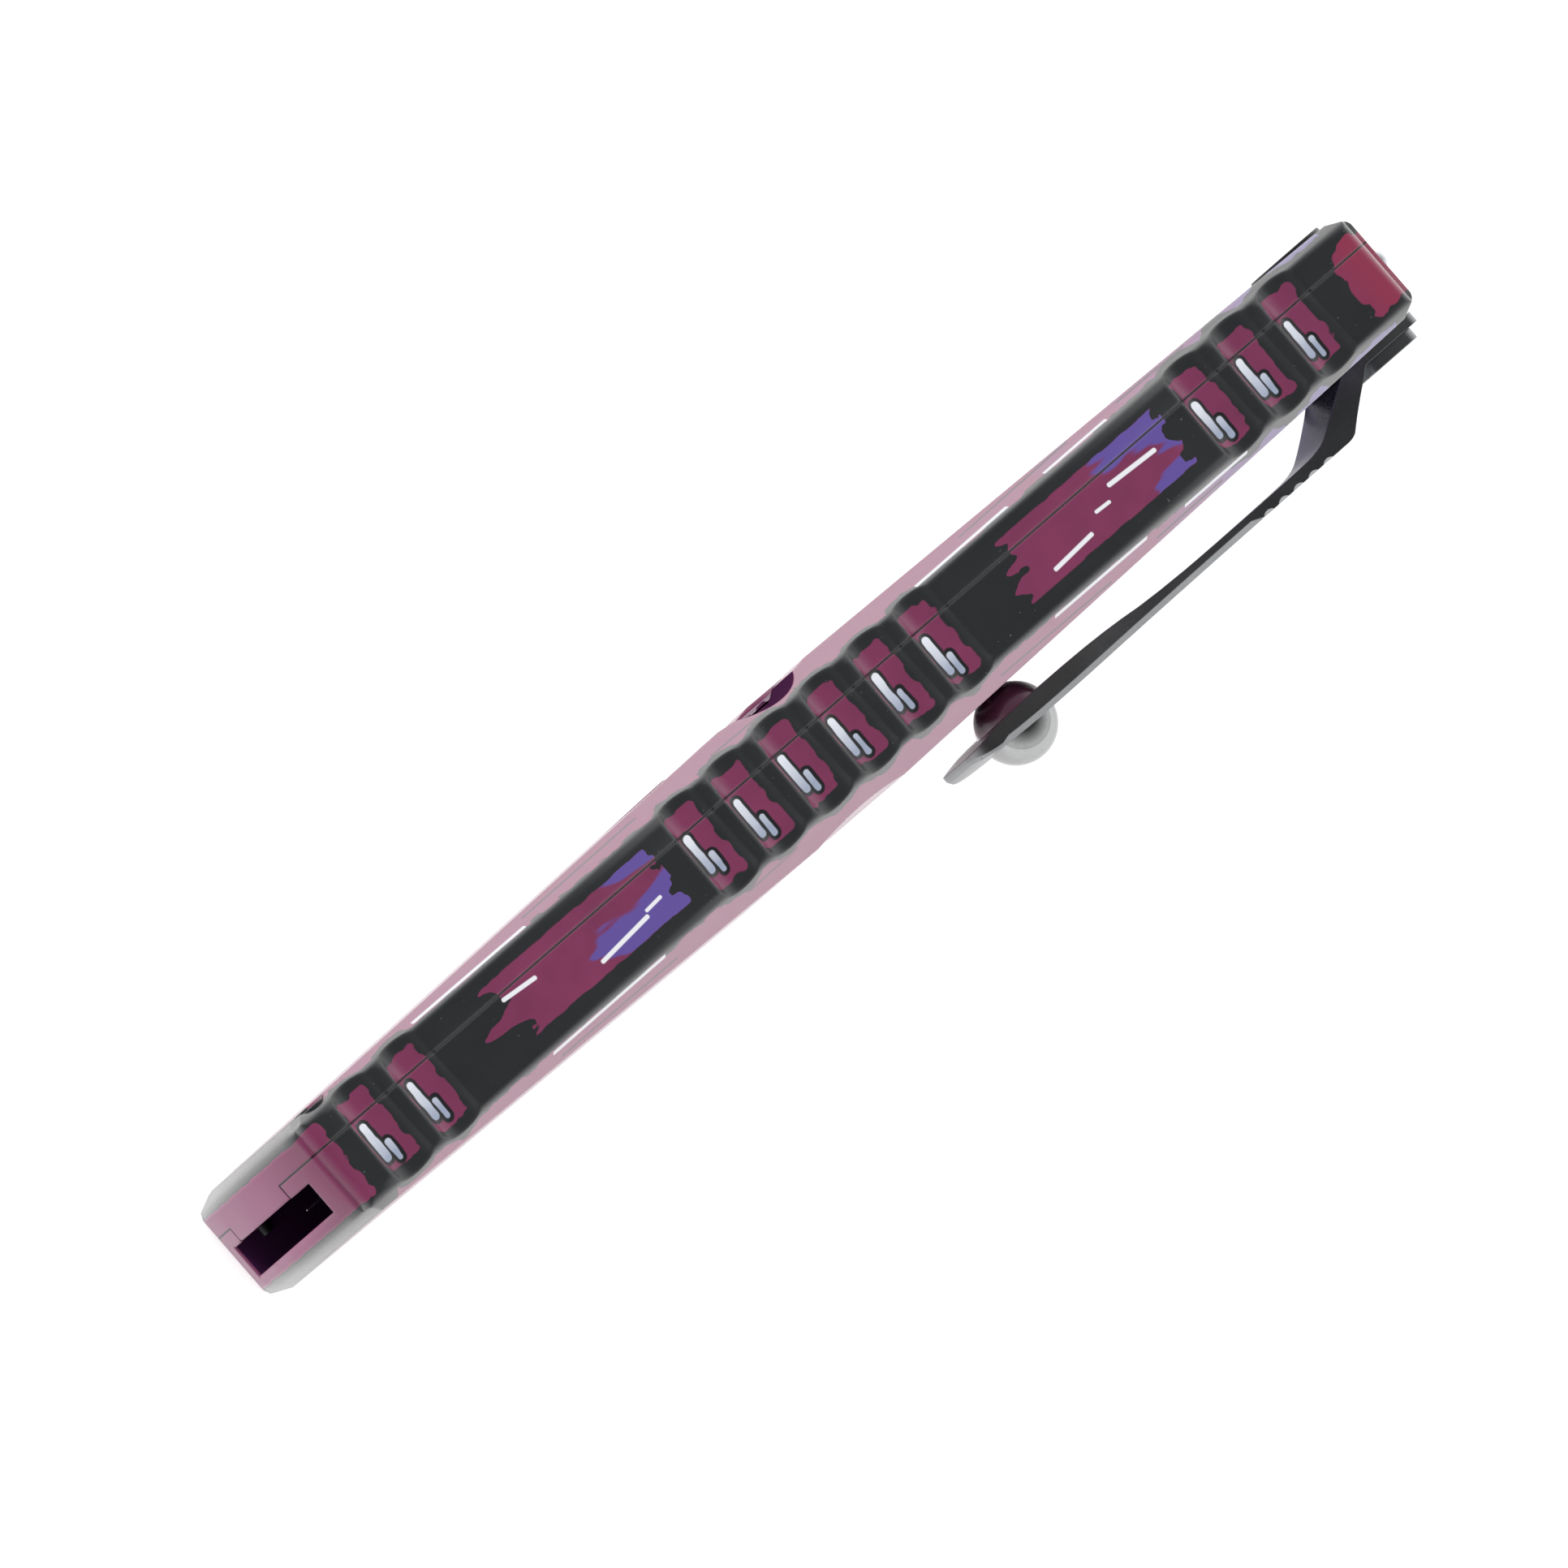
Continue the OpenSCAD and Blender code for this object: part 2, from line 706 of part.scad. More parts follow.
module butt_screw() {
  face = butt_half + (peak_half - butt_half) * (handle_len - butt_screw_at)
    / (handle_len - peak_at);
  top = face + butt_head_proud;
  color("#2E3033") place()
    cover_screw(butt_screw_at, mid_z + butt_screw_z, top, butt_head_d, top - butt_half + butt_seat);
}

// The clip's inner side from its foot to its tip, as [x, y] before its corners are eased.
function clip_inner() = [
  [foot_rear, seat_y], [foot_front + 0.8, seat_y], [foot_front, seat_y],
  [foot_front - 0.8, seat_y + 0.5], [foot_front - 4, arm_y - 0.95],
  [foot_front - 5.4, arm_y - 0.2], [foot_front - 7.6, arm_y],
  [ball_at + 15, arm_y + 0.05], [ball_at + 7.8, head_y], [ball_at - 2.4, head_y],
  [ball_at - 5.4, arm_y - 0.16], [ball_at - tip_ahead, arm_y - 0.08]];

// The clip's outer side from its foot to its tip; the head is thicker than the arm.
function clip_outer() = [
  [foot_rear, seat_y + clip_t], [foot_front + 1.7, seat_y + clip_t],
  [foot_front + 1.2, seat_y + clip_t], [foot_front + 0.7, seat_y + clip_t + 0.45],
  [foot_front - 2.1, arm_y + clip_t - 0.6], [foot_front - 2.8, arm_y + clip_t],
  [foot_front - 4.4, arm_y + clip_t], [ball_at + 15, arm_y + clip_t + 0.12],
  [ball_at + 2, head_y + clip_head_t], [ball_at - 3, head_y + clip_head_t - 0.1],
  [ball_at - tip_ahead + 1, arm_y + clip_t], [ball_at - tip_ahead, arm_y + clip_t - 0.45]];

// Cuts the corners of a line twice over, so that it bends smoothly.
function eased(line, times) = times == 0 ? line :
  let (last = len(line) - 1)
  eased(concat([line[0]],
    [for (i = [0:last - 1]) each [0.75 * line[i] + 0.25 * line[i + 1],
      0.25 * line[i] + 0.75 * line[i + 1]]],
    [line[last]]), times - 1);

// Half the clip's width from its foot to its head, narrow along the arm.
function clip_half() = [
  [foot_front + 2.5, foot_w / 2], [foot_front + 0.9, foot_w / 2], [foot_front - 0.6, foot_w / 2 - 0.8],
  [foot_front - 2, clip_w / 2 + 0.4], [foot_front - 7, clip_w / 2], [ball_at + 13, clip_w / 2],
  [ball_at + 4, head_w / 2], [ball_at, head_w / 2]];

// The clip seen from its outer side: foot, fan, arm and the round head.
module clip_outline() {
  half = eased(clip_half(), 2);
  polygon(concat([for (p = half) [p[0], mid_z + p[1]]],
    [for (i = [len(half) - 1:-1:0]) [half[i][0], mid_z - half[i][1]]]));
  round_rect(foot_front + 1, foot_rear, mid_z - foot_w / 2, mid_z + foot_w / 2, 1);
  round_rect(ball_at - tip_ahead, ball_at + 4, mid_z - head_w / 2, mid_z + head_w / 2, head_round);
}

module pocket_clip() {
  inner = eased(clip_inner(), 2);
  outer = eased(clip_outer(), 2);
  back = [for (i = [len(outer) - 1:-1:0]) outer[i]];
  color("#3D3D40") place()
    difference() {
      intersection() {
        slab(mid_z - foot_w, mid_z + foot_w) polygon(concat(inner, back));
        plate(0, 2 * bevel_reach) clip_outline();
      }
      translate([ball_at, ball_y, mid_z]) rotate([90, 0, 0])
        sphere(d = ball_d, $fn = 72);
      for (i = [0:4])
        translate([notch_at + i * notch_pitch, arm_y + clip_t - notch_depth + notch_d / 2,
          mid_z - foot_w])
          cylinder(h = 2 * foot_w, d = notch_d, $fn = 24);
      for (side = [-1, 1])
        bar(clip_screw_at, mid_z + side * clip_screw_z, 0, 2 * bevel_reach, screw_d);
    }
}

module clip_keeper() {
  low = seat_y + clip_t;
  color("#3D3D40") place()
    difference() {
      plate(low, low + keeper_t)
        round_rect(keeper_front, keeper_front + keeper_len,
          mid_z - keeper_w / 2, mid_z + keeper_w / 2, keeper_r);
      for (side = [-1, 1])
        bar(clip_screw_at, mid_z + side * clip_screw_z, low - 1, low + 1, screw_d);
      for (side = [-1, 1])
        bar(clip_screw_at, mid_z + side * clip_screw_z, low + keeper_t - clip_head_h - 0.15, low + 2,
          head_d);
    }
}

module clip_ball() {
  color("#1A1A1C") place()
    translate([ball_at, ball_y, mid_z])
      sphere(d = ball_d, $fn = 72);
}

module clip_screws() {
  top = seat_y + clip_t + keeper_t;
  color("#2E3033") place()
    for (side = [-1, 1])
      difference() {
        union() {
          bar(clip_screw_at, mid_z + side * clip_screw_z, clip_screw_in, top - clip_head_h + eps, screw_d);
          bar(clip_screw_at, mid_z + side * clip_screw_z, top - clip_head_h, top, head_d);
        }
        translate([clip_screw_at, top + 1, mid_z + side * clip_screw_z])
          rotate([90, 0, 0])
            cylinder(h = 1.4, d = head_d * socket_share, $fn = 6);
      }
}

module glass_breaker() {
  color("#C9CCD0") place()
    translate([handle_len, 0, mid_z])
      rotate([0, 90, 0]) {
        translate([0, 0, -stud_thread_len]) cylinder(h = stud_thread_len, d = stud_thread_d);
        translate([0, 0, -collar_sunk]) cylinder(h = collar_sunk + 0.3, d = collar_d);
        cylinder(h = stud_proud - dome_d / 2, d = dome_d);
        translate([0, 0, stud_proud - dome_d / 2]) sphere(d = dome_d);
      }
}

handle_body();
handle_cover();
blade();
blade_stop_pins();
rear_bumper();
thumb_slide();
slide_screw();
slide_carriage();
main_spring();
front_spring_truck();
rear_spring_truck();
front_catch();
front_catch_pin();
front_catch_spring();
rear_catch();
rear_catch_pin();
rear_catch_spring();
alignment_dowels();
cover_screws();
butt_screw();
pocket_clip();
clip_keeper();
clip_ball();
clip_screws();
glass_breaker();
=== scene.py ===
"""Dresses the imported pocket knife: softened, brush-painted handle halves, clip, slide, springs and screws."""

import math
from types import SimpleNamespace

import bmesh
import bpy
from bpy.props import FloatProperty, FloatVectorProperty, IntProperty, PointerProperty
from mathutils import Matrix, Vector


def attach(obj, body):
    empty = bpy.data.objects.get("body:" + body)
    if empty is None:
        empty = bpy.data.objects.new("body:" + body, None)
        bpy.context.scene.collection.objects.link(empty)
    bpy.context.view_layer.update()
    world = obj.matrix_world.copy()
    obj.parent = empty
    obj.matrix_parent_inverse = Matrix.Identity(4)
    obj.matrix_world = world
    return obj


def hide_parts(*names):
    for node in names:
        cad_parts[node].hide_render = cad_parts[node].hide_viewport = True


bl_info = {
    "name": "Pocket Knife Dressing",
    "version": (1, 0, 0),
    "blender": (4, 5, 0),
    "location": "3D View > Sidebar > Pocket Knife",
    "description": "Builds the painted handle, clip, slide and small parts of a front-opening pocket knife",
    "category": "Object",
}

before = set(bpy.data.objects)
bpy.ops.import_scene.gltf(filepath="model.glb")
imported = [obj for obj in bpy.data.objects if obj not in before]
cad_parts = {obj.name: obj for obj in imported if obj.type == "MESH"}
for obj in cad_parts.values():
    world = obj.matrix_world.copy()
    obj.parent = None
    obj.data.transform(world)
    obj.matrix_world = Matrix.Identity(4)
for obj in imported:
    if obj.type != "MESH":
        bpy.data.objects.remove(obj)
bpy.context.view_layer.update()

MM = 0.001
# bench millimetres: s runs back from the nose, y from the middle to the clip side, z up from the middle;
# here is where the bench's nose and middle lie in the frame
NOSE_X = 60.5
MIDDLE_Y = -2.8857
MIDDLE_Z = 12.5

# the handle's places on the bench
PARTING_Y = -1.64
NOSE_RADIUS = 44.0
TONGUE_HALF = 6.0
TONGUE_BACK = 3.0
THUMB_GROOVE_MIDDLE = (54.5, -9.5, 0)
THUMB_GROOVE_RADIUS = 5.04
SCALLOP_PITCH = 5.05
# where each group of scallops takes over, its first middle and the number of its last scallop
SCALLOP_GROUPS = ((0.0, 6.975, 1), (26.8, 41.875, 5), (84.0, 96.45, 2))

# bands along y: middle and half width
TONGUE_BAND = (-0.98, 0.66)
FACE_BAND = (-1.0, 4.0)
LONG_PANEL_BAND = (-0.2, 2.62)

# where the paint's coats begin and end on the bench
NOSE_COAT_DEPTH = 0.8
SECOND_PANEL_FROM = 55.0
LONG_PANEL_PITCH = 54.8
LONG_PANEL_BACK = 37.4
FINGER_START = 12.0
FINGER_REACH = 15.0
VIOLET_FROM = 22.0
VIOLET_TO = 38.5
LAVENDER_FROM = 100.0
LAVENDER_TO = 122.0
RED_FROM = 109.0
RED_TO = 113.0
RIM_HEIGHT = 10.3
GLINT_HEIGHT = 9.5
NOSE_RIM = 4.9
BUTT_RIM = 112.6
WELL_FRONT = 0.25
WELL_BACK = 113.0

# patches: middle, half length and half width in millimetres, turn in degrees, corner radius
SCALLOP_PANEL = ((-0.25, 0.0, 1.55, 3.25, 0.0, 0.35),)
END_PANELS = ((0.0, 0.0, 3.1, 3.35, 0.0, 0.4), (115.2, 0.2, 4.0, 3.1, 0.0, 0.9))
GLINTS = ((-1.0, 0.75, 0.4, 1.75, 4.0, 0.34), (-0.02, 2.0, 0.27, 0.95, 4.0, 0.24))
RIM_SLIVERS = (
    (24.0, 4.24, 6.0, 0.1, 0.2, 0.09),
    (77.0, 4.26, 5.0, 0.1, -0.2, 0.09),
    (89.5, 4.36, 3.4, 0.09, 0, 0.08),
)
PANEL_STROKES = (
    (22.5, -1.0, 1.7, 0.17, -5.0, 0.15),
    (31.6, 1.35, 2.7, 0.17, 4.0, 0.15),
    (35.2, 0.75, 0.9, 0.14, 4.0, 0.13),
    (79.8, 1.5, 2.2, 0.17, 3.0, 0.15),
    (87.9, -0.4, 2.5, 0.18, -3.0, 0.16),
    (84.0, 0.4, 0.8, 0.14, -3.0, 0.13),
)
HAIRLINES = (
    (31.0, 10.5, 6.2, 0.12, 1.0, 0.1),
    (47.5, 10.9, 2.6, 0.12, -2.0, 0.1),
    (78.0, 10.3, 6.0, 0.12, 1.2, 0.1),
    (92.5, 10.7, 3.6, 0.12, -1.2, 0.1),
    (24.0, 7.4, 6.0, 0.16, 3.0, 0.14),
    (86.0, 6.2, 8.5, 0.16, -2.0, 0.14),
    (36.0, 3.1, 5.0, 0.16, 2.0, 0.14),
    (98.0, 2.4, 5.5, 0.16, -3.0, 0.14),
    (70.0, 8.0, 3.0, 0.14, 4.0, 0.12),
)
BLADE_WELL = ((0.0, 0.42, 9.03, 2.05, 0.0, 0.0),)
BUTTON_CHANNEL = ((52.0, 0.0, 9.16, 4.53, 0.0, 2.0),)

# edges on the bench: joint, scallops' rims, cavity and button channel of the handle, where the clip's foot
# lies on it, and the ball's seat, outside, tip and notches of the clip
JOINT_CLEAR = 0.02
SCALLOP_RIM_Z = 10.0
SCALLOP_RIM_Y = 3.3
CAVITY_S = 0.95
CAVITY_Y = (-3.9, 2.5)
CAVITY_Z = 9.1
CHANNEL_Y = -3.0
CHANNEL_Z = 5.0
FOOT_S = 105
FOOT_Y = 4.2
BALL_S = 72.8
BALL_SEAT_CLEAR = 3.6
CLIP_OUTSIDE_Y = 8.3
CLIP_TIP_S = 70.0
CLIP_NOTCH_S = 97.8

# broken edges in metres: screws and button, and the blade
SMALL_BREAK = 0.12 * MM
BLADE_BREAK = 0.05 * MM

# radius of every screw's shank in millimetres
SHANK_R = 0.8
# name, node, places of the head tops, head radius and height, length, socket depth, turn from Z in degrees
SCREWS = (
    ("lobed_cover_screws", "cover_screws", ((4.4, -4.5, 2.2), (4.4, -4.5, 22.8), (111.7, -4.5, 6.1)),
     1.4, 1.1, 7.5, 0.6, 90),
    ("lobed_butt_screw", "butt_screw", ((111.7, -4.9, 18.9),),
     3.3, 1.3, 7.9, 0.8, 90),
    ("lobed_clip_screws", "clip_screws", ((113.9, 6.25, 9.9), (113.9, 6.25, 15.1)),
     1.4, 0.6, 5.35, 0.4, -90),
)
# name, place and size in metres, power in watts
LAMPS = (("key", (0.25, -0.9, 0.9), 0.7, 9.0), ("fill", (-0.3, 0.9, 0.9), 0.8, 7.0))
# floor of card: half its side in metres, its grey, and the glow that lifts it to white
FLOOR_HALF = 2
CARD_GREY = (0.6, 0.6, 0.6, 1)
CARD_LIFT = 0.68

# the kinds of node that are added most
MATH = "ShaderNodeMath"
VECTOR_MATH = "ShaderNodeVectorMath"
RANGE = "ShaderNodeMapRange"
MIX = "ShaderNodeMix"
NOISE = "ShaderNodeTexNoise"

# what the properties of one kind share
COLOUR = {"subtype": "COLOR", "size": 4, "min": 0, "max": 1}
LENGTH = {"subtype": "DISTANCE", "unit": "LENGTH", "min": 0}


def linear(hex_colour):
    """The linear RGBA of an sRGB hex value."""
    parts = [int(hex_colour[i:i + 2], 16) / 255 for i in (1, 3, 5)]
    return tuple(c / 12.92 if c <= 0.04045 else ((c + 0.055) / 1.055) ** 2.4 for c in parts) + (1.0,)


def at(s, y, z):
    """A point in metres in the frame, from bench millimetres."""
    return Vector((NOSE_X - s, MIDDLE_Y + y, z)) * MM


def add_node(tree, kind, values):
    """Adds a node; each value is a setting, an input's value, or the node or socket that feeds an input."""
    node = tree.nodes.new(kind)
    for key, value in values.items():
        if isinstance(key, str) and key not in node.inputs:
            setattr(node, key, value)
        elif isinstance(value, bpy.types.Node):
            tree.links.new(value.outputs[0], node.inputs[key])
        elif isinstance(value, bpy.types.NodeSocket):
            tree.links.new(value, node.inputs[key])
        else:
            node.inputs[key].default_value = value
    return node


# ---- sizes and colours


class PaintSettings(bpy.types.PropertyGroup):
    charcoal: FloatVectorProperty(
        name="Charcoal", description="Ground coat on the spines and edges", default=linear("#25272A"),
        **COLOUR)
    plum: FloatVectorProperty(
        name="Plum", description="Panels on the spines", default=linear("#843059"), **COLOUR)
    # rose on the faces: their plum paint lightened as a painted sheen
    rose_and_sheen: FloatVectorProperty(
        name="Rose", description="Coat on the two faces", default=linear("#90496C"), **COLOUR)
    violet: FloatVectorProperty(
        name="Violet", description="Patches towards the butt", default=linear("#5D4A98"), **COLOUR)
    silver: FloatVectorProperty(
        name="Silver", description="Bright end of the glints in the scallops", default=linear("#E2E6EE"),
        **COLOUR)
    steel_blue: FloatVectorProperty(
        name="Steel blue", description="Dark end of the glints in the scallops", default=linear("#98A2B8"),
        **COLOUR)
    slide: FloatVectorProperty(
        name="Slide", description="Paint of the thumb slide", default=linear("#5A2C55"), **COLOUR)
    edge_break: FloatProperty(
        name="Edge break", description="Width of the softened edges of the handle", default=0.12 * MM,
        **LENGTH)


class MetalSettings(bpy.types.PropertyGroup):
    clip: FloatVectorProperty(
        name="Clip", description="Dark coat of the clip", default=linear("#9A9C9E"), **COLOUR)
    blade: FloatVectorProperty(
        name="Blade", description="Ground blade steel", default=linear("#B9BCC1"), **COLOUR)
    edge_break: FloatProperty(
        name="Edge break", description="Width of the softened edges of the keeper", default=0.1 * MM,
        **LENGTH)
    ground_rim: FloatProperty(
        name="Ground rim", description="Width of the flat ground along the clip's outer rim",
        default=0.45 * MM, **LENGTH)
    spring_wire: FloatProperty(
        name="Spring wire", description="Diameter of the main spring's wire", default=0.34 * MM, **LENGTH)
    spring_turns: IntProperty(name="Spring turns", description="Turns of the main spring", min=4, default=24)


class StageSettings(bpy.types.PropertyGroup):
    tilt: FloatProperty(
        name="Tilt", description="How far the view leans towards the nose", subtype="ANGLE", unit="ROTATION",
        default=math.radians(24.5))
    roll: FloatProperty(
        name="Roll", description="Turn of the picture", subtype="ANGLE", unit="ROTATION",
        default=math.radians(41))
    target: FloatVectorProperty(
        name="Target", description="Point in the middle of the picture", subtype="TRANSLATION",
        unit="LENGTH", default=(10.96 * MM, -2.485 * MM, 25 * MM))
    distance: FloatProperty(
        name="Distance", description="Distance of the camera from the target", subtype="DISTANCE",
        unit="LENGTH", min=0.1, default=3.0)
    lens: FloatProperty(name="Lens", description="Focal length in millimetres", min=10, default=932.2)
    ambient: FloatProperty(
        name="Ambient", description="Strength of the light from all round", min=0, default=0.55)


# ---- meshes


def merged_copy(node):
    """A mesh of a CAD node's solid with its doubles merged and its flat faces joined."""
    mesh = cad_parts[node].data.copy()
    form = bmesh.new()
    form.from_mesh(mesh)
    bmesh.ops.remove_doubles(form, verts=form.verts, dist=0.0005 * MM)
    bmesh.ops.dissolve_limit(form, angle_limit=math.radians(0.4), verts=form.verts, edges=form.edges)
    form.to_mesh(mesh)
    form.free()
    return mesh


def new_piece(name, mesh, material):
    """An object at the origin with one material."""
    mesh.materials.clear()
    mesh.materials.append(material)
    piece = bpy.data.objects.new(name, mesh)
    bpy.context.scene.collection.objects.link(piece)
    return piece


def soften(piece, width, smooth_below, share=None, ground=False):
    """Breaks each sharp edge by its share of the width, round or ground flat, and shades the rest smooth."""
    form = bmesh.new()
    form.from_mesh(piece.data)
    weight = form.edges.layers.float.new("bevel_weight_edge")
    for edge in form.edges:
        if len(edge.link_faces) == 2 and edge.calc_face_angle(0) > math.radians(smooth_below):
            x, y, z = (edge.verts[0].co + edge.verts[1].co) / 2 / MM
            edge[weight] = share(NOSE_X - x, y - MIDDLE_Y, z - MIDDLE_Z) if share else 1.0
    form.to_mesh(piece.data)
    form.free()
    piece.data.shade_smooth()
    piece.data.set_sharp_from_angle(angle=math.radians(smooth_below))
    if width:
        bevel = piece.modifiers.new("edge break", "BEVEL")
        bevel.width = width
        bevel.segments = 1 if ground else 2
        bevel.limit_method = "WEIGHT"
        bevel.use_clamp_overlap = False
        bevel.mark_sharp = ground
        bevel.loop_slide = not ground
        bevel.harden_normals = not ground


def stand_in(piece, body, slot, *nodes):
    """The piece rides on a body and takes the place of CAD nodes."""
    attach(piece, body)
    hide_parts(*nodes)


def remade(node, name, material, body, slot, width, **edges):
    """A softened copy of a CAD node that takes its place."""
    piece = new_piece(name, merged_copy(node), material)
    soften(piece, width, **edges)
    stand_in(piece, body, slot, node)


def growing_tree(name, numbers):
    """An empty node group that takes points, named numbers and a material, with its input node."""
    tree = bpy.data.node_groups.new(name, "GeometryNodeTree")
    tree.interface.new_socket("Points", in_out="INPUT", socket_type="NodeSocketGeometry")
    for label in numbers:
        tree.interface.new_socket(label, in_out="INPUT", socket_type="NodeSocketFloat")
    tree.interface.new_socket("Material", in_out="INPUT", socket_type="NodeSocketMaterial")
    tree.interface.new_socket("Geometry", in_out="OUTPUT", socket_type="NodeSocketGeometry")
    return tree, add_node(tree, "NodeGroupInput", {})


def place_on_points(tree, given, instance):
    """Puts the instance on every point and ends with plain geometry in the given material."""
    put = add_node(tree, "GeometryNodeInstanceOnPoints", {
        "Points": given.outputs["Points"], "Instance": instance})
    plain = add_node(tree, "GeometryNodeRealizeInstances", {"Geometry": put})
    clad = add_node(tree, "GeometryNodeSetMaterial", {
        "Geometry": plain, "Material": given.outputs["Material"]})
    add_node(tree, "NodeGroupOutput", {"Geometry": clad})


def coil_tree():
    """Coil spring along X behind each point: turns, outer diameter, length and wire."""
    tree, given = growing_tree("coil spring", ("Turns", "Outer Diameter", "Length", "Wire"))
    size = given.outputs
    thin = add_node(tree, MATH, {"operation": "SUBTRACT", 0: size["Outer Diameter"], 1: size["Wire"]})
    middle_r = add_node(tree, MATH, {"operation": "MULTIPLY", 0: thin, 1: 0.5})
    wire_r = add_node(tree, MATH, {"operation": "MULTIPLY", 0: size["Wire"], 1: 0.5})
    rise = add_node(tree, MATH, {"operation": "SUBTRACT", 0: size["Length"], 1: size["Wire"]})
    helix = add_node(tree, "GeometryNodeCurveSpiral", {
        "Resolution": 28, "Rotations": size["Turns"], "Start Radius": middle_r, "End Radius": middle_r,
        "Height": rise})
    ring = add_node(tree, "GeometryNodeCurvePrimitiveCircle", {"Resolution": 10, "Radius": wire_r})
    coil = add_node(tree, "GeometryNodeCurveToMesh", {
        "Curve": helix, "Profile Curve": ring.outputs["Curve"], "Fill Caps": True})
    start = add_node(tree, "ShaderNodeCombineXYZ", {"X": wire_r})
    laid = add_node(tree, "GeometryNodeTransform", {
        "Geometry": coil, "Translation": start, "Rotation": (0, math.radians(90), 0)})
    place_on_points(tree, given, laid)
    return tree


def swept(tree, outline, low, high):
    """A solid of that outline along Z between two heights."""
    low_end = add_node(tree, "ShaderNodeCombineXYZ", {"Z": low})
    high_end = add_node(tree, "ShaderNodeCombineXYZ", {"Z": high})
    line = add_node(tree, "GeometryNodeCurvePrimitiveLine", {"Start": low_end, "End": high_end})
    return add_node(tree, "GeometryNodeCurveToMesh", {
        "Curve": line, "Profile Curve": outline.outputs["Curve"], "Fill Caps": True})


def screw_tree():
    """Low-head screw with a six-lobe socket under each point; it points along Z before its turn about X."""
    tree, given = growing_tree(
        "lobed screw", ("Head Radius", "Head Height", "Shank Radius", "Length", "Socket Depth", "Turn"))
    size = given.outputs
    parts = (
        ("Head Height", -1.0), ("Head Height", -0.9), ("Length", -1.0), ("Head Radius", 0.5),
        ("Head Radius", 0.36), ("Socket Depth", -1.0))
    under_head, in_head, end, lobes, flutes, deep = (
        add_node(tree, MATH, {"operation": "MULTIPLY", 0: size[name], 1: part}) for name, part in parts)
    head_ring = add_node(tree, "GeometryNodeCurvePrimitiveCircle", {
        "Resolution": 48, "Radius": size["Head Radius"]})
    shank_ring = add_node(tree, "GeometryNodeCurvePrimitiveCircle", {
        "Resolution": 32, "Radius": size["Shank Radius"]})
    star = add_node(tree, "GeometryNodeCurveStar", {
        "Points": 6, "Inner Radius": flutes, "Outer Radius": lobes})
    whole = add_node(tree, "GeometryNodeMeshBoolean", {"operation": "UNION"})
    for solid in (swept(tree, head_ring, under_head, 0.0), swept(tree, shank_ring, end, in_head)):
        tree.links.new(solid.outputs[0], whole.inputs["Mesh 2"])
    punch = swept(tree, star, deep, size["Socket Depth"])
    punched = add_node(tree, "GeometryNodeMeshBoolean", {
        "operation": "DIFFERENCE", "Mesh 1": whole.outputs["Mesh"], "Mesh 2": punch})
    turn = add_node(tree, "ShaderNodeCombineXYZ", {"X": size["Turn"]})
    turned = add_node(tree, "GeometryNodeTransform", {"Geometry": punched.outputs["Mesh"], "Rotation": turn})
    place_on_points(tree, given, turned)
    return tree


def grown(name, points, tree, values):
    """A plain mesh that a node tree grows on points, with its named inputs set."""
    seed = bpy.data.meshes.new(name)
    seed.from_pydata([tuple(p) for p in points], [], [])
    piece = bpy.data.objects.new(name, seed)
    bpy.context.scene.collection.objects.link(piece)
    modifier = piece.modifiers.new("grow", "NODES")
    modifier.node_group = tree
    for item in tree.interface.items_tree:
        if item.in_out == "INPUT" and item.name in values:
            modifier[item.identifier] = values[item.name]
    bpy.context.view_layer.update()
    grown_mesh = bpy.data.meshes.new_from_object(piece.evaluated_get(bpy.context.evaluated_depsgraph_get()))
    piece.modifiers.clear()
    piece.data = grown_mesh
    if not grown_mesh.polygons or not grown_mesh.materials:
        raise RuntimeError(f"{name} grew no clad surface")
    return piece


def dress(material, *nodes):
    """Gives CAD nodes that are kept their material."""
    for node in nodes:
        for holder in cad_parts[node].material_slots:
            holder.material = material


# ---- materials


def new_material(name):
    """An empty node material, with its tree."""
    material = bpy.data.materials.new(name)
    material.use_nodes = True
    material.node_tree.nodes.clear()
    return material, material.node_tree


def finish_material(tree, shader):
    """Sends the shader to the material's surface."""
    add_node(tree, "ShaderNodeOutputMaterial", {"Surface": shader})


def bench_place(tree):
    """Object coordinates turned to bench millimetres."""
    seat = add_node(tree, "ShaderNodeTexCoord", {})
    return add_node(tree, "ShaderNodeMapping", {
        "Vector": seat.outputs["Object"], "Location": (NOSE_X, -MIDDLE_Y, -MIDDLE_Z),
        "Scale": (-1000, 1000, 1000)})


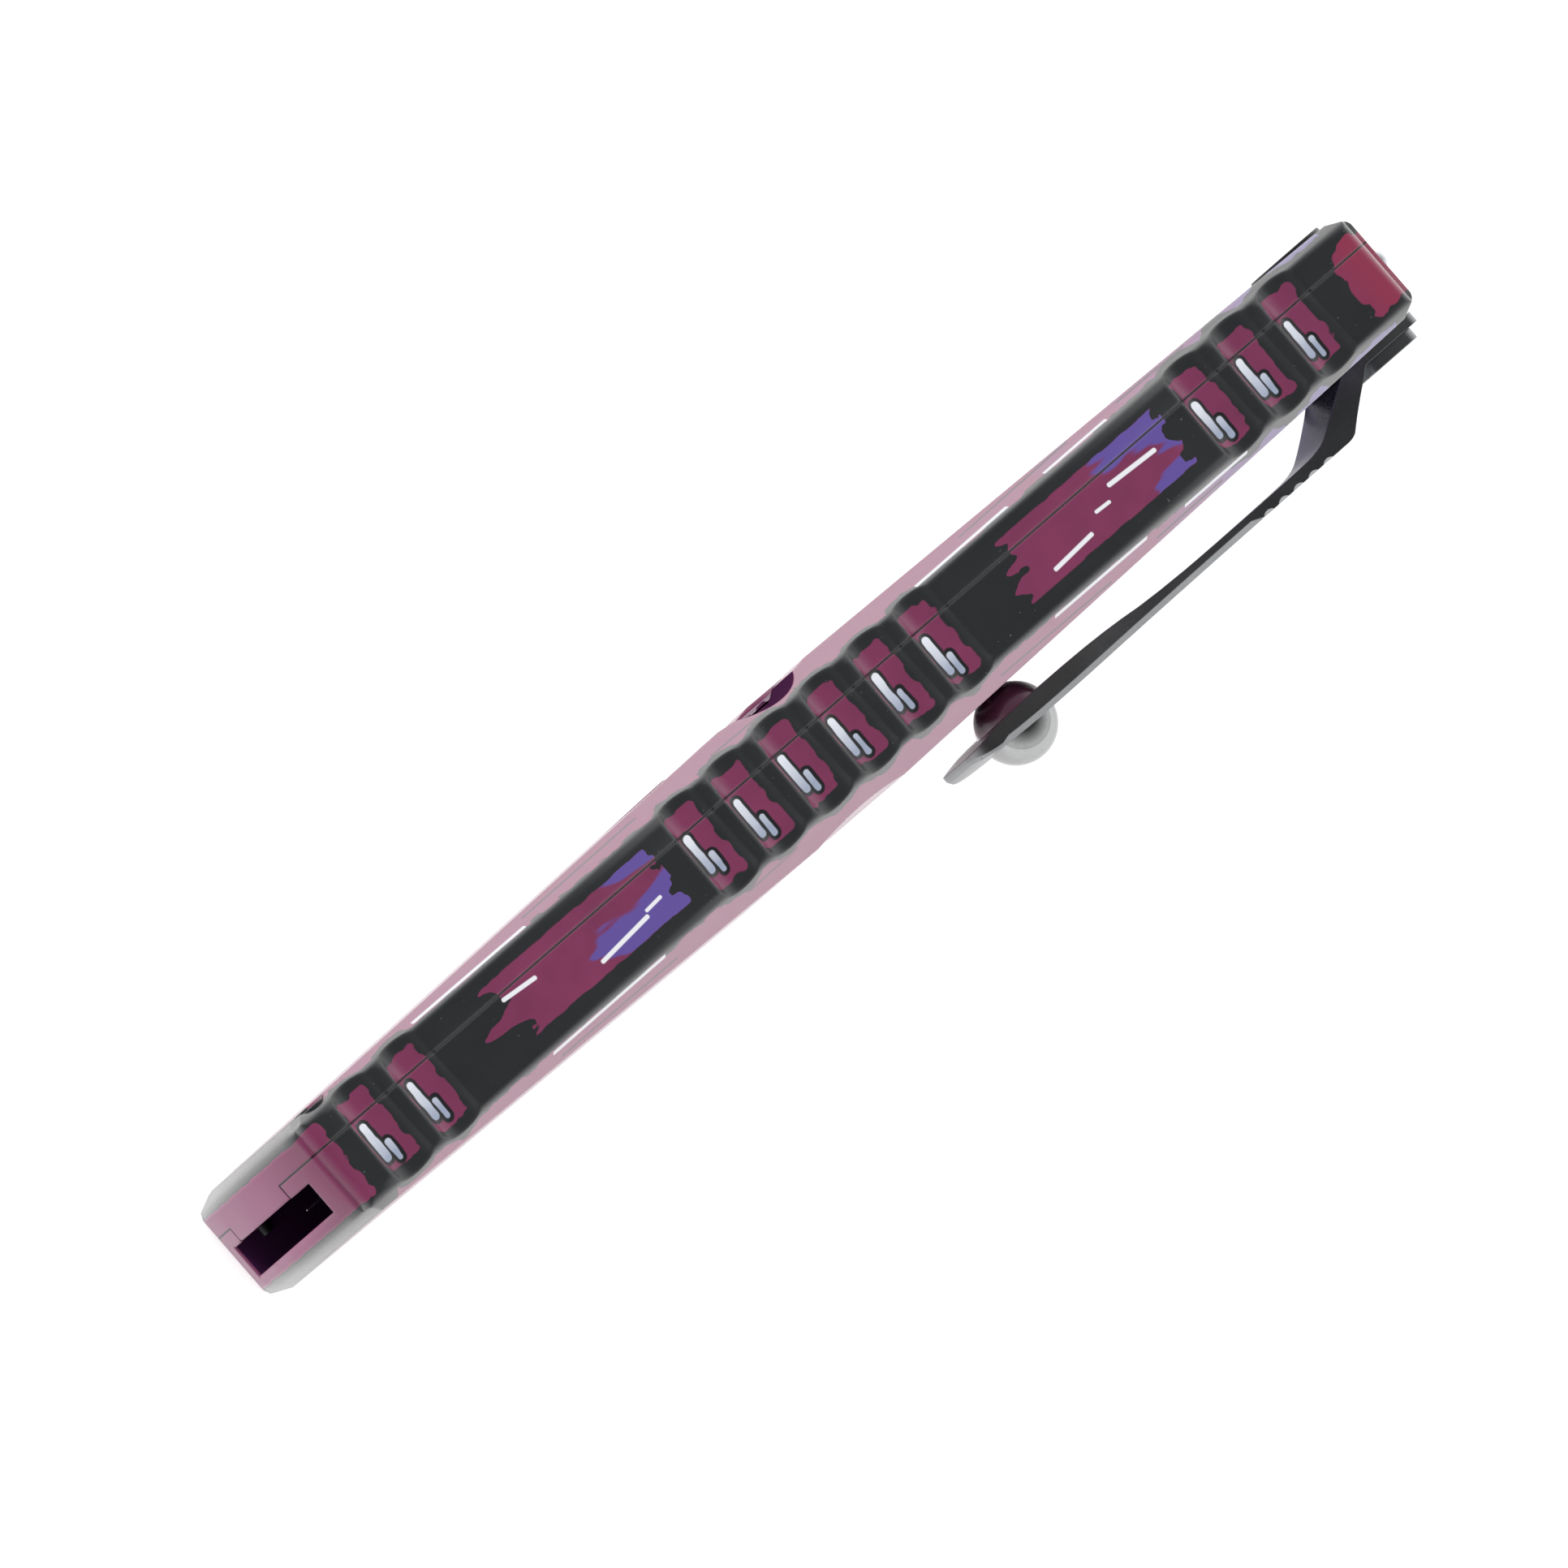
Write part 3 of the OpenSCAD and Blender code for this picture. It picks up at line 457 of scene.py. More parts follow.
def patch_group():
    """Distance in millimetres from a rounded, turned rectangle, less than zero inside it."""
    tree = bpy.data.node_groups.new("brush patch", "ShaderNodeTree")
    for kind, names in (("Vector", ("Place", "Middle", "Half Size")), ("Float", ("Turn", "Corner"))):
        for name in names:
            tree.interface.new_socket(name=name, in_out="INPUT", socket_type="NodeSocket" + kind)
    tree.interface.new_socket(name="Distance", in_out="OUTPUT", socket_type="NodeSocketFloat")
    given = add_node(tree, "NodeGroupInput", {}).outputs
    moved = add_node(tree, VECTOR_MATH, {"operation": "SUBTRACT", 0: given["Place"], 1: given["Middle"]})
    turned = add_node(tree, "ShaderNodeVectorRotate", {
        "rotation_type": "Z_AXIS", "Vector": moved, "Angle": given["Turn"]})
    folded = add_node(tree, VECTOR_MATH, {"operation": "ABSOLUTE", 0: turned})
    past = add_node(tree, VECTOR_MATH, {"operation": "SUBTRACT", 0: folded, 1: given["Half Size"]})
    corner = add_node(tree, "ShaderNodeCombineXYZ", {"X": given["Corner"], "Y": given["Corner"]})
    grown_by = add_node(tree, VECTOR_MATH, {"operation": "ADD", 0: past, 1: corner})
    outside = add_node(tree, VECTOR_MATH, {"operation": "MAXIMUM", 0: grown_by, 1: (0, 0, 0)})
    length = add_node(tree, VECTOR_MATH, {"operation": "LENGTH", 0: outside})
    sides = add_node(tree, "ShaderNodeSeparateXYZ", {0: grown_by})
    larger = add_node(tree, MATH, {"operation": "MAXIMUM", 0: sides.outputs["X"], 1: sides.outputs["Y"]})
    inside = add_node(tree, MATH, {"operation": "MINIMUM", 0: larger, 1: 0.0})
    whole = add_node(tree, MATH, {"operation": "ADD", 0: length.outputs["Value"], 1: inside})
    distance = add_node(tree, MATH, {"operation": "SUBTRACT", 0: whole, 1: given["Corner"]})
    add_node(tree, "NodeGroupOutput", {"Distance": distance})
    return tree


def joined(tree, operation, first, *others):
    """The MINIMUM or MAXIMUM of several values; of distances, that joins shapes or keeps what they share."""
    whole = first
    for other in others:
        whole = add_node(tree, MATH, {"operation": operation, 0: whole, 1: other})
    return whole


def nearest(brush, place, patches):
    """The distance from the nearest of several patches, laid on the first two axes of a place."""
    laid = [
        add_node(brush.tree, "ShaderNodeGroup", {
            "node_tree": brush.patch, "Place": place, "Middle": (s, y, 0), "Half Size": (half_s, half_y, 0),
            "Turn": math.radians(turn), "Corner": corner})
        for s, y, half_s, half_y, turn, corner in patches]
    return joined(brush.tree, "MINIMUM", *laid)


def band(tree, value, middle, half):
    """How far a value lies outside a band, less than zero inside it."""
    offset = add_node(tree, MATH, {"operation": "SUBTRACT", 0: value, 1: middle})
    size = add_node(tree, MATH, {"operation": "ABSOLUTE", 0: offset})
    return add_node(tree, MATH, {"operation": "SUBTRACT", 0: size, 1: half})


def frayed(brush, distance, amount):
    """The distance from a shape whose edge wobbles as the hand did."""
    return add_node(brush.tree, MATH, {"operation": "MULTIPLY_ADD", 0: brush.knobs, 1: amount, 2: distance})


def painted(tree, under, distance, colour, reach=0.0, soft=0.05):
    """Lays a colour over another where the distance is less than reach."""
    cover = add_node(tree, RANGE, {
        "Value": distance, "From Min": reach + soft, "From Max": reach - soft,
        "interpolation_type": "SMOOTHSTEP"})
    return add_node(tree, MIX, {"data_type": "RGBA", 0: cover, 6: under, 7: colour}).outputs[2]


def brush_places(tree):
    """What the strokes are laid out by: bench coordinates, their signs and sizes, and the hand's wobble."""
    place = bench_place(tree)
    s, y, z = add_node(tree, "ShaderNodeSeparateXYZ", {0: place}).outputs
    brush = SimpleNamespace(tree=tree, patch=patch_group(), place=place, s=s, y=y, z=z)
    brush.height = add_node(tree, MATH, {"operation": "ABSOLUTE", 0: z})
    brush.across = add_node(tree, MATH, {"operation": "ABSOLUTE", 0: y})
    brush.side = add_node(tree, MATH, {"operation": "SIGN", 0: z})
    brush.face = add_node(tree, MATH, {"operation": "SIGN", 0: y})
    brush.flat = add_node(tree, "ShaderNodeCombineXYZ", {"X": s, "Y": y})
    # knobs about 1.6 mm long
    brush.wobble = add_node(tree, NOISE, {"Vector": place, "Scale": 0.62, "Detail": 1.6, "Roughness": 0.5})
    brush.knobs = add_node(tree, RANGE, {
        "interpolation_type": "SMOOTHSTEP", "Value": brush.wobble, "From Min": 0.38, "From Max": 0.66,
        "To Min": -0.35, "To Max": 0.65})
    brush.grain = add_node(tree, NOISE, {"Vector": place, "Scale": 0.35, "Detail": 3.0})
    return brush


def scallop_cells(brush):
    """The place in the nearest scallop's cell, and a chance drawn for each cell."""
    tree = brush.tree
    first, last = SCALLOP_GROUPS[0][1:]
    for ahead, behind in zip(SCALLOP_GROUPS, SCALLOP_GROUPS[1:]):
        past = add_node(tree, MATH, {"operation": "GREATER_THAN", 0: brush.s, 1: behind[0]})
        first = add_node(tree, MATH, {
            "operation": "MULTIPLY_ADD", 0: past, 1: behind[1] - ahead[1], 2: first})
        last = add_node(tree, MATH, {"operation": "MULTIPLY_ADD", 0: past, 1: behind[2] - ahead[2], 2: last})
    from_first = add_node(tree, MATH, {"operation": "SUBTRACT", 0: brush.s, 1: first})
    number = from_first
    steps = (("DIVIDE", SCALLOP_PITCH), ("ROUND", 0.0), ("MAXIMUM", 0.0), ("MINIMUM", last))
    for operation, operand in steps:
        number = add_node(tree, MATH, {"operation": operation, 0: number, 1: operand})
    brush.cell_s = add_node(tree, MATH, {
        "operation": "MULTIPLY_ADD", 0: number, 1: -SCALLOP_PITCH, 2: from_first})
    brush.cell = add_node(tree, "ShaderNodeCombineXYZ", {"X": brush.cell_s, "Y": brush.y})
    key = add_node(tree, "ShaderNodeCombineXYZ", {"X": number, "Y": first, "Z": brush.side})
    chance = add_node(tree, "ShaderNodeTexWhiteNoise", {"noise_dimensions": "3D", "Vector": key})
    brush.chance = add_node(tree, "ShaderNodeSeparateXYZ", {0: chance.outputs["Color"]}).outputs["X"]


def plum_panels(brush):
    """Distance from the plum: scallop panels, two long panels with dry-brush fingers in front, both ends."""
    tree = brush.tree
    panel = frayed(brush, nearest(brush, brush.cell, SCALLOP_PANEL), 0.3)
    in_second = add_node(tree, MATH, {"operation": "GREATER_THAN", 0: brush.s, 1: SECOND_PANEL_FROM})
    brush.long_s = add_node(tree, MATH, {
        "operation": "MULTIPLY_ADD", 0: in_second, 1: -LONG_PANEL_PITCH, 2: brush.s})
    finger_place = add_node(tree, VECTOR_MATH, {
        "operation": "MULTIPLY", 0: brush.place, 1: (0.03, 0.62, 0.03)})
    fingers = add_node(tree, NOISE, {"Vector": finger_place, "Scale": 1.0, "Detail": 1.5, "Roughness": 0.5})
    front = add_node(tree, MATH, {"operation": "MULTIPLY_ADD", 0: fingers, 1: FINGER_REACH, 2: FINGER_START})
    front = add_node(tree, MATH, {"operation": "SUBTRACT", 0: front, 1: brush.long_s})
    back = add_node(tree, MATH, {"operation": "SUBTRACT", 0: brush.long_s, 1: LONG_PANEL_BACK})
    length = joined(tree, "MAXIMUM", front, back)
    length = add_node(tree, MATH, {"operation": "ADD", 0: length, 1: brush.knobs})
    width = frayed(brush, band(tree, brush.y, *LONG_PANEL_BAND), 0.1)
    brush.strip = add_node(tree, MATH, {"operation": "SMOOTH_MAX", 0: length, 1: width, 2: 0.5})
    ragged = add_node(tree, RANGE, {
        "Value": brush.s, "From Min": 1.0, "From Max": 3.0, "To Min": 0.08, "To Max": 0.5})
    brush.ends = frayed(brush, nearest(brush, brush.flat, END_PANELS), ragged)
    return joined(tree, "MINIMUM", panel, brush.strip, brush.ends)


def spine_colours(brush, paint):
    """Charcoal with a dust of overspray, and plum that turns red at the butt."""
    tree = brush.tree
    dark = add_node(tree, MIX, {
        "data_type": "RGBA", 0: brush.grain, 6: linear("#1D1F21"), 7: paint.charcoal})
    # sparse pale specks about 0.15 mm across
    dust = add_node(tree, NOISE, {"Vector": brush.place, "Scale": 3.4, "Detail": 1.0})
    dust = add_node(tree, RANGE, {"Value": dust, "From Min": 0.77, "From Max": 0.83, "To Max": 0.35})
    dark = add_node(tree, MIX, {"data_type": "RGBA", 0: dust, 6: dark.outputs[2], 7: linear("#A0A2A4")})
    warm = add_node(tree, MIX, {"data_type": "RGBA", 0: brush.grain, 6: linear("#6C284C"), 7: paint.plum})
    at_butt = add_node(tree, RANGE, {
        "Value": brush.s, "From Min": RED_FROM, "From Max": RED_TO, "To Max": 0.85})
    warm = add_node(tree, MIX, {"data_type": "RGBA", 0: at_butt, 6: warm.outputs[2], 7: linear("#8A2A47")})
    return dark.outputs[2], warm.outputs[2]


def nose_coat_and_sheen(brush, under, warm):
    """Plum where the nose turns into the near spine, and a painted sheen that lightens it to rose below."""
    tree = brush.tree
    bow = add_node(tree, MATH, {"operation": "MULTIPLY", 0: brush.z, 1: brush.z})
    brush.behind = add_node(tree, MATH, {
        "operation": "MULTIPLY_ADD", 0: bow, 1: -0.5 / NOSE_RADIUS, 2: brush.s})
    # painted sheen: plum at 12 mm above the middle turns to light rose by 3 mm and stays rose below
    turn = add_node(tree, RANGE, {"Value": brush.z, "From Min": 12.0, "From Max": 3.0})
    nose = add_node(tree, MIX, {"data_type": "RGBA", 0: turn, 6: warm, 7: linear("#A04E7C")})
    brush.past_nose = add_node(tree, MATH, {"operation": "SUBTRACT", 0: brush.behind, 1: NOSE_COAT_DEPTH})
    brush.front_face = joined(tree, "MAXIMUM", brush.past_nose, brush.ends)
    return painted(tree, under, brush.front_face, nose.outputs[2], 0.0, 0.02)


def violet_patches(brush, under, paint):
    """Soft-edged patches of violet that gather at the rear of each long panel."""
    tree = brush.tree
    stretched = add_node(tree, VECTOR_MATH, {"operation": "MULTIPLY", 0: brush.place, 1: (0.11, 0.5, 0.11)})
    brush.clouds = add_node(tree, NOISE, {
        "Vector": stretched, "Scale": 1.0, "Detail": 2.0, "Roughness": 0.5})
    rear = add_node(tree, RANGE, {
        "Value": brush.long_s, "From Min": VIOLET_FROM, "From Max": VIOLET_TO, "To Min": -0.17,
        "To Max": 0.13})
    amount = add_node(tree, MATH, {"operation": "ADD", 0: brush.clouds, 1: rear})
    amount = add_node(tree, RANGE, {"Value": amount, "From Min": 0.54, "From Max": 0.58})
    in_strip = add_node(tree, MATH, {"operation": "LESS_THAN", 0: brush.strip, 1: 0.0})
    amount = add_node(tree, MATH, {"operation": "MULTIPLY", 0: amount, 1: in_strip})
    return add_node(tree, MIX, {"data_type": "RGBA", 0: amount, 6: under, 7: paint.violet}).outputs[2]


def face_coat(brush, under, paint):
    """Rose, plum lightened by a painted sheen, that turns to lavender towards the butt; charcoal holds the rims
    and dips round each scallop.
    """
    tree = brush.tree
    drift = add_node(tree, MATH, {"operation": "MULTIPLY_ADD", 0: brush.clouds, 1: 34.0, 2: brush.s})
    drift = add_node(tree, RANGE, {"Value": drift, "From Min": LAVENDER_FROM, "From Max": LAVENDER_TO})
    # painted sheen: the faces in rose, lighter than the plum, turning to lavender towards the butt
    rose_and_sheen = add_node(tree, MIX, {"data_type": "RGBA", 0: drift, 6: paint.rose_and_sheen, 7: linear("#75699A")})
    dip = add_node(tree, MATH, {"operation": "MULTIPLY", 0: brush.cell_s, 1: brush.cell_s})
    dip = add_node(tree, RANGE, {
        "Value": dip, "From Min": 0.0, "From Max": 4.4, "To Min": 0.42, "To Max": 0.0})
    rim_at = add_node(tree, RANGE, {
        "Value": brush.s, "From Min": 78.0, "From Max": 98.0, "To Min": 4.14, "To Max": 4.34})
    rim_at = add_node(tree, MATH, {"operation": "ADD", 0: rim_at, 1: dip})
    rim = add_node(tree, MATH, {"operation": "SUBTRACT", 0: rim_at, 1: brush.across})
    near_spine = add_node(tree, MATH, {"operation": "SUBTRACT", 0: brush.height, 1: RIM_HEIGHT})
    rim = joined(tree, "MINIMUM", rim, near_spine)
    nose_rim = add_node(tree, MATH, {"operation": "SUBTRACT", 0: NOSE_RIM, 1: brush.s})
    butt_rim = add_node(tree, MATH, {"operation": "SUBTRACT", 0: brush.s, 1: BUTT_RIM})
    rim = joined(tree, "MAXIMUM", rim, nose_rim, butt_rim)
    on_face = frayed(brush, rim, 0.2)
    colour = painted(tree, under, on_face, rose_and_sheen.outputs[2])
    face_s = add_node(tree, MATH, {"operation": "MULTIPLY_ADD", 0: brush.face, 1: 2.4, 2: brush.s})
    face_place = add_node(tree, "ShaderNodeCombineXYZ", {"X": face_s, "Y": brush.height})
    hairlines = joined(tree, "MAXIMUM", on_face, nearest(brush, face_place, HAIRLINES))
    return painted(tree, colour, hairlines, linear("#4E3A46"))


def white_lines(brush, under):
    """White slivers along the rims and thin strokes on the long panels."""
    tree = brush.tree
    rim_s = add_node(tree, MATH, {"operation": "MULTIPLY_ADD", 0: brush.face, 1: -3.5, 2: brush.s})
    rim_place = add_node(tree, "ShaderNodeCombineXYZ", {"X": rim_s, "Y": brush.across})
    slivers = nearest(brush, rim_place, RIM_SLIVERS)
    lines = joined(tree, "MINIMUM", slivers, nearest(brush, brush.flat, PANEL_STROKES))
    return painted(tree, under, lines, linear("#E6E7EC"))


def scallop_glints(brush, under, paint):
    """Two slanted silver strokes in each scallop with a dark outline."""
    tree = brush.tree
    tip = add_node(tree, MATH, {"operation": "MULTIPLY_ADD", 0: brush.y, 1: 0.09, 2: brush.cell_s})
    shifted_y = add_node(tree, MATH, {"operation": "MULTIPLY_ADD", 0: brush.chance, 1: 0.5, 2: brush.y})
    glint_place = add_node(tree, "ShaderNodeCombineXYZ", {"X": tip, "Y": shifted_y})
    bristle = frayed(brush, nearest(brush, glint_place, GLINTS), 0.09)
    on_spine = add_node(tree, MATH, {"operation": "SUBTRACT", 0: GLINT_HEIGHT, 1: brush.height})
    bristle = joined(tree, "MAXIMUM", bristle, on_spine)
    colour = painted(tree, under, bristle, linear("#16171A"), 0.3)
    sheen = add_node(tree, MATH, {"operation": "MULTIPLY_ADD", 0: brush.wobble, 1: 1.4, 2: shifted_y})
    sheen = add_node(tree, RANGE, {"Value": sheen, "From Min": 0.0, "From Max": 2.9})
    metal = add_node(tree, MIX, {"data_type": "RGBA", 0: sheen, 6: paint.silver, 7: paint.steel_blue})
    return painted(tree, colour, bristle, metal.outputs[2])


def shaded_places(brush, under):
    """The blade channel, thumb groove and button channel in violet, darkened as painted shade in these
    recesses.
    """
    tree = brush.tree
    well_place = add_node(tree, "ShaderNodeCombineXYZ", {"X": brush.z, "Y": brush.y})
    front_of_well = add_node(tree, MATH, {"operation": "SUBTRACT", 0: WELL_FRONT, 1: brush.behind})
    behind_well = add_node(tree, MATH, {"operation": "SUBTRACT", 0: brush.s, 1: WELL_BACK})
    well = joined(tree, "MAXIMUM", nearest(brush, well_place, BLADE_WELL), front_of_well, behind_well)
    groove = add_node(tree, VECTOR_MATH, {"operation": "DISTANCE", 0: brush.flat, 1: THUMB_GROOVE_MIDDLE})
    groove = add_node(tree, MATH, {
        "operation": "SUBTRACT", 0: groove.outputs["Value"], 1: THUMB_GROOVE_RADIUS})
    channel_place = add_node(tree, "ShaderNodeCombineXYZ", {"X": brush.s, "Y": brush.z})
    under_face = band(tree, brush.y, *FACE_BAND)
    channel = joined(tree, "MAXIMUM", nearest(brush, channel_place, BUTTON_CHANNEL), under_face)
    shaded = joined(tree, "MINIMUM", groove, channel)
    # painted shade: dark plum in the thumb groove and button channel
    colour = painted(tree, under, shaded, linear("#4A2546"), 0.0, 0.03)
    brush.inside = joined(tree, "MINIMUM", shaded, well)
    # painted shade: dark violet in the blade channel inside the handle
    return painted(tree, colour, well, linear("#4C2750"), 0.0, 0.03)


def joint_line(brush, under):
    """The dark line between the two halves and round the nose tongue."""
    tree = brush.tree
    seam = band(tree, brush.y, PARTING_Y, 0.0)
    beside_tongue = add_node(tree, MATH, {"operation": "SUBTRACT", 0: TONGUE_HALF, 1: brush.height})
    at_nose = add_node(tree, MATH, {"operation": "SUBTRACT", 0: TONGUE_BACK, 1: brush.s})
    seam = joined(tree, "MAXIMUM", seam, joined(tree, "MINIMUM", beside_tongue, at_nose))
    tongue_side = add_node(tree, MATH, {"operation": "ABSOLUTE", 0: beside_tongue})
    tongue_y = band(tree, brush.y, *TONGUE_BAND)
    tongue_side = joined(tree, "MAXIMUM", tongue_side, tongue_y, brush.past_nose)
    seam = joined(tree, "MINIMUM", seam, tongue_side)
    return painted(tree, under, seam, linear("#0E0A0E"), 0.075, 0.02)


def clear_coat(brush, colour):
    """Satin clear coat, thin on the nose and left off inside: it shines softly at a low angle."""
    tree = brush.tree
    # orange peel about 0.5 mm across and brush ridges about 0.25 mm apart
    peel = add_node(tree, NOISE, {"Vector": brush.place, "Scale": 2.0, "Detail": 2.0})
    ridges = add_node(tree, VECTOR_MATH, {"operation": "MULTIPLY", 0: brush.place, 1: (0.5, 4.0, 4.0)})
    ridges = add_node(tree, NOISE, {"Vector": ridges, "Scale": 1.0, "Detail": 2.0})
    relief = add_node(tree, MATH, {"operation": "ADD", 0: peel, 1: ridges})
    worn = add_node(tree, "ShaderNodeBevel", {"samples": 6, "Radius": 0.45 * MM})
    bump = add_node(tree, "ShaderNodeBump", {
        "Height": relief, "Strength": 0.12, "Distance": 0.05 * MM, "Normal": worn})
    rough = add_node(tree, RANGE, {"Value": brush.grain, "To Min": 0.36, "To Max": 0.5})
    coat = add_node(tree, RANGE, {"Value": brush.inside, "From Min": 0.0, "From Max": 0.06})
    gloss = add_node(tree, MATH, {"operation": "MULTIPLY", 0: coat, 1: 0.3})
    thin = add_node(tree, RANGE, {
        "Value": brush.front_face, "From Min": -0.2, "From Max": 0.2, "To Min": 0.35})
    coat = add_node(tree, MATH, {"operation": "MULTIPLY", 0: coat, 1: thin})
    # the coat's IOR is above a lacquer's 1.5 to match the glare in the photograph
    return add_node(tree, "ShaderNodeBsdfPrincipled", {
        "Base Color": colour, "Roughness": rough, "IOR": 1.5, "Specular IOR Level": gloss,
        "Coat Weight": coat, "Coat Roughness": 0.24, "Coat IOR": 1.75, "Normal": bump, "Coat Normal": bump})


def handle_paint(paint):
    """Aluminium halves, sprayed charcoal and brushed by hand with satin lacquers under a clear coat."""
    material, tree = new_material("painted aluminium")
    brush = brush_places(tree)
    scallop_cells(brush)
    plum = plum_panels(brush)
    dark, warm = spine_colours(brush, paint)
    colour = painted(tree, dark, plum, warm)
    colour = nose_coat_and_sheen(brush, colour, warm)
    colour = violet_patches(brush, colour, paint)
    colour = face_coat(brush, colour, paint)
    colour = white_lines(brush, colour)
    colour = scallop_glints(brush, colour, paint)
    colour = shaded_places(brush, colour)
    colour = joint_line(brush, colour)
    finish_material(tree, clear_coat(brush, colour))
    return material


def slide_paint(paint):
    """Dyed and lacquered aluminium button: an even deep purple."""
    material, tree = new_material("lacquered slide")
    place = bench_place(tree)
    cloud = add_node(tree, NOISE, {"Vector": place, "Scale": 0.6, "Detail": 3.0})
    colour = add_node(tree, MIX, {"data_type": "RGBA", 0: cloud, 6: paint.slide, 7: linear("#713A62")})
    rough = add_node(tree, RANGE, {"Value": cloud, "To Min": 0.3, "To Max": 0.5})
    grain = add_node(tree, NOISE, {"Vector": place, "Scale": 6.0, "Detail": 2.0})
    bump = add_node(tree, "ShaderNodeBump", {"Height": grain, "Strength": 0.1, "Distance": 0.03 * MM})
    finish_material(tree, add_node(tree, "ShaderNodeBsdfPrincipled", {
        "Base Color": colour.outputs[2], "Roughness": rough, "IOR": 1.5, "Coat Weight": 0.4,
        "Coat Roughness": 0.25, "Normal": bump}))
    return material


def metal_finish(name, dark, light, rough_low, rough_high, grain_scale, depth, edge=0.0):
    """A metal whose tone and gloss vary over a grain, given per millimetre along s, y and z.

    Depth is the grain's and edge the radius that the rims are shaded with, both in millimetres.
    """
    material, tree = new_material(name)
    place = bench_place(tree)
    stretched = add_node(tree, VECTOR_MATH, {"operation": "MULTIPLY", 0: place, 1: grain_scale})
    grain = add_node(tree, NOISE, {"Vector": stretched, "Scale": 1.0, "Detail": 3.0, "Roughness": 0.6})
    cloud = add_node(tree, NOISE, {"Vector": place, "Scale": 0.18, "Detail": 2.0})
    both = add_node(tree, MATH, {"operation": "MULTIPLY_ADD", 0: grain, 1: 0.6, 2: cloud})
    tone = add_node(tree, RANGE, {"Value": both, "From Min": 0.5, "From Max": 1.1})
    colour = add_node(tree, MIX, {"data_type": "RGBA", 0: tone, 6: dark, 7: light})
    rough = add_node(tree, RANGE, {"Value": tone, "To Min": rough_low, "To Max": rough_high})
    bump = add_node(tree, "ShaderNodeBump", {"Height": grain, "Strength": 0.25, "Distance": depth * MM})
    if edge:
        rounded = add_node(tree, "ShaderNodeBevel", {"samples": 8, "Radius": edge * MM})
        tree.links.new(rounded.outputs[0], bump.inputs["Normal"])
    finish_material(tree, add_node(tree, "ShaderNodeBsdfPrincipled", {
        "Base Color": colour.outputs[2], "Metallic": 1.0, "Roughness": rough, "Normal": bump}))
    return material


def coated_finish(name, dark, light, rough_low, rough_high, grain_size, depth):
    """A dark coat on metal, or a polymer: not metallic, with a fine grain of that size in millimetres."""
    material, tree = new_material(name)
    place = bench_place(tree)
    grain = add_node(tree, NOISE, {
        "Vector": place, "Scale": 1 / grain_size, "Detail": 2.0, "Roughness": 0.6})
    cloud = add_node(tree, NOISE, {"Vector": place, "Scale": 0.2, "Detail": 3.0})
    both = add_node(tree, MATH, {"operation": "MULTIPLY_ADD", 0: grain, 1: 0.5, 2: cloud})
    tone = add_node(tree, RANGE, {"Value": both, "From Min": 0.45, "From Max": 1.05})
    colour = add_node(tree, MIX, {"data_type": "RGBA", 0: tone, 6: dark, 7: light})
    rough = add_node(tree, RANGE, {"Value": tone, "To Min": rough_low, "To Max": rough_high})
    bump = add_node(tree, "ShaderNodeBump", {"Height": grain, "Strength": 0.2, "Distance": depth * MM})
    finish_material(tree, add_node(tree, "ShaderNodeBsdfPrincipled", {
        "Base Color": colour.outputs[2], "Roughness": rough, "IOR": 1.5, "Normal": bump}))
    return material


# ---- operators


def handle_share(s, y, z):
    """How far an edge of the handle is broken.

    Fully outside, less at the channel and the clip's foot, barely at the joint, and not at all in the cavity
    and on the scallops' rims.
    """
    if abs(y - PARTING_Y) < JOINT_CLEAR:
        return 0.1
    if abs(z) > SCALLOP_RIM_Z and abs(y) > SCALLOP_RIM_Y:
        return 0.0
    if abs(z) < CAVITY_Z and CAVITY_Y[0] < y < CAVITY_Y[1] and s > CAVITY_S:
        return 0.0
    if abs(z) < CHANNEL_Z and y < CHANNEL_Y or y > FOOT_Y and s > FOOT_S:
        return 0.4
    return 1.0


def clip_share(s, y, z):
    """How far an edge of the clip is ground off.

    The outer rim of the head and arm is, half as wide at the tip; the ball's seat, the notches and the foot
    keep their edges.
    """
    in_seat = (s - BALL_S) ** 2 + z * z < BALL_SEAT_CLEAR ** 2
    if in_seat or y < CLIP_OUTSIDE_Y or s > CLIP_NOTCH_S:
        return 0.0
    return 0.5 if s < CLIP_TIP_S else 1.0


class KNIFE_OT_handle(bpy.types.Operator):
    """Softens the two handle halves and paints them"""

    bl_idname = "knife.handle"
    bl_label = "Handle halves"

    def execute(self, context):
        paint = context.scene.knife_paint
        material = handle_paint(paint)
        for node in ("handle_body", "handle_cover"):
            remade(node, node + "_painted", material, "handle", "painted_aluminium",
                   paint.edge_break, smooth_below=28, share=handle_share)
        return {"FINISHED"}


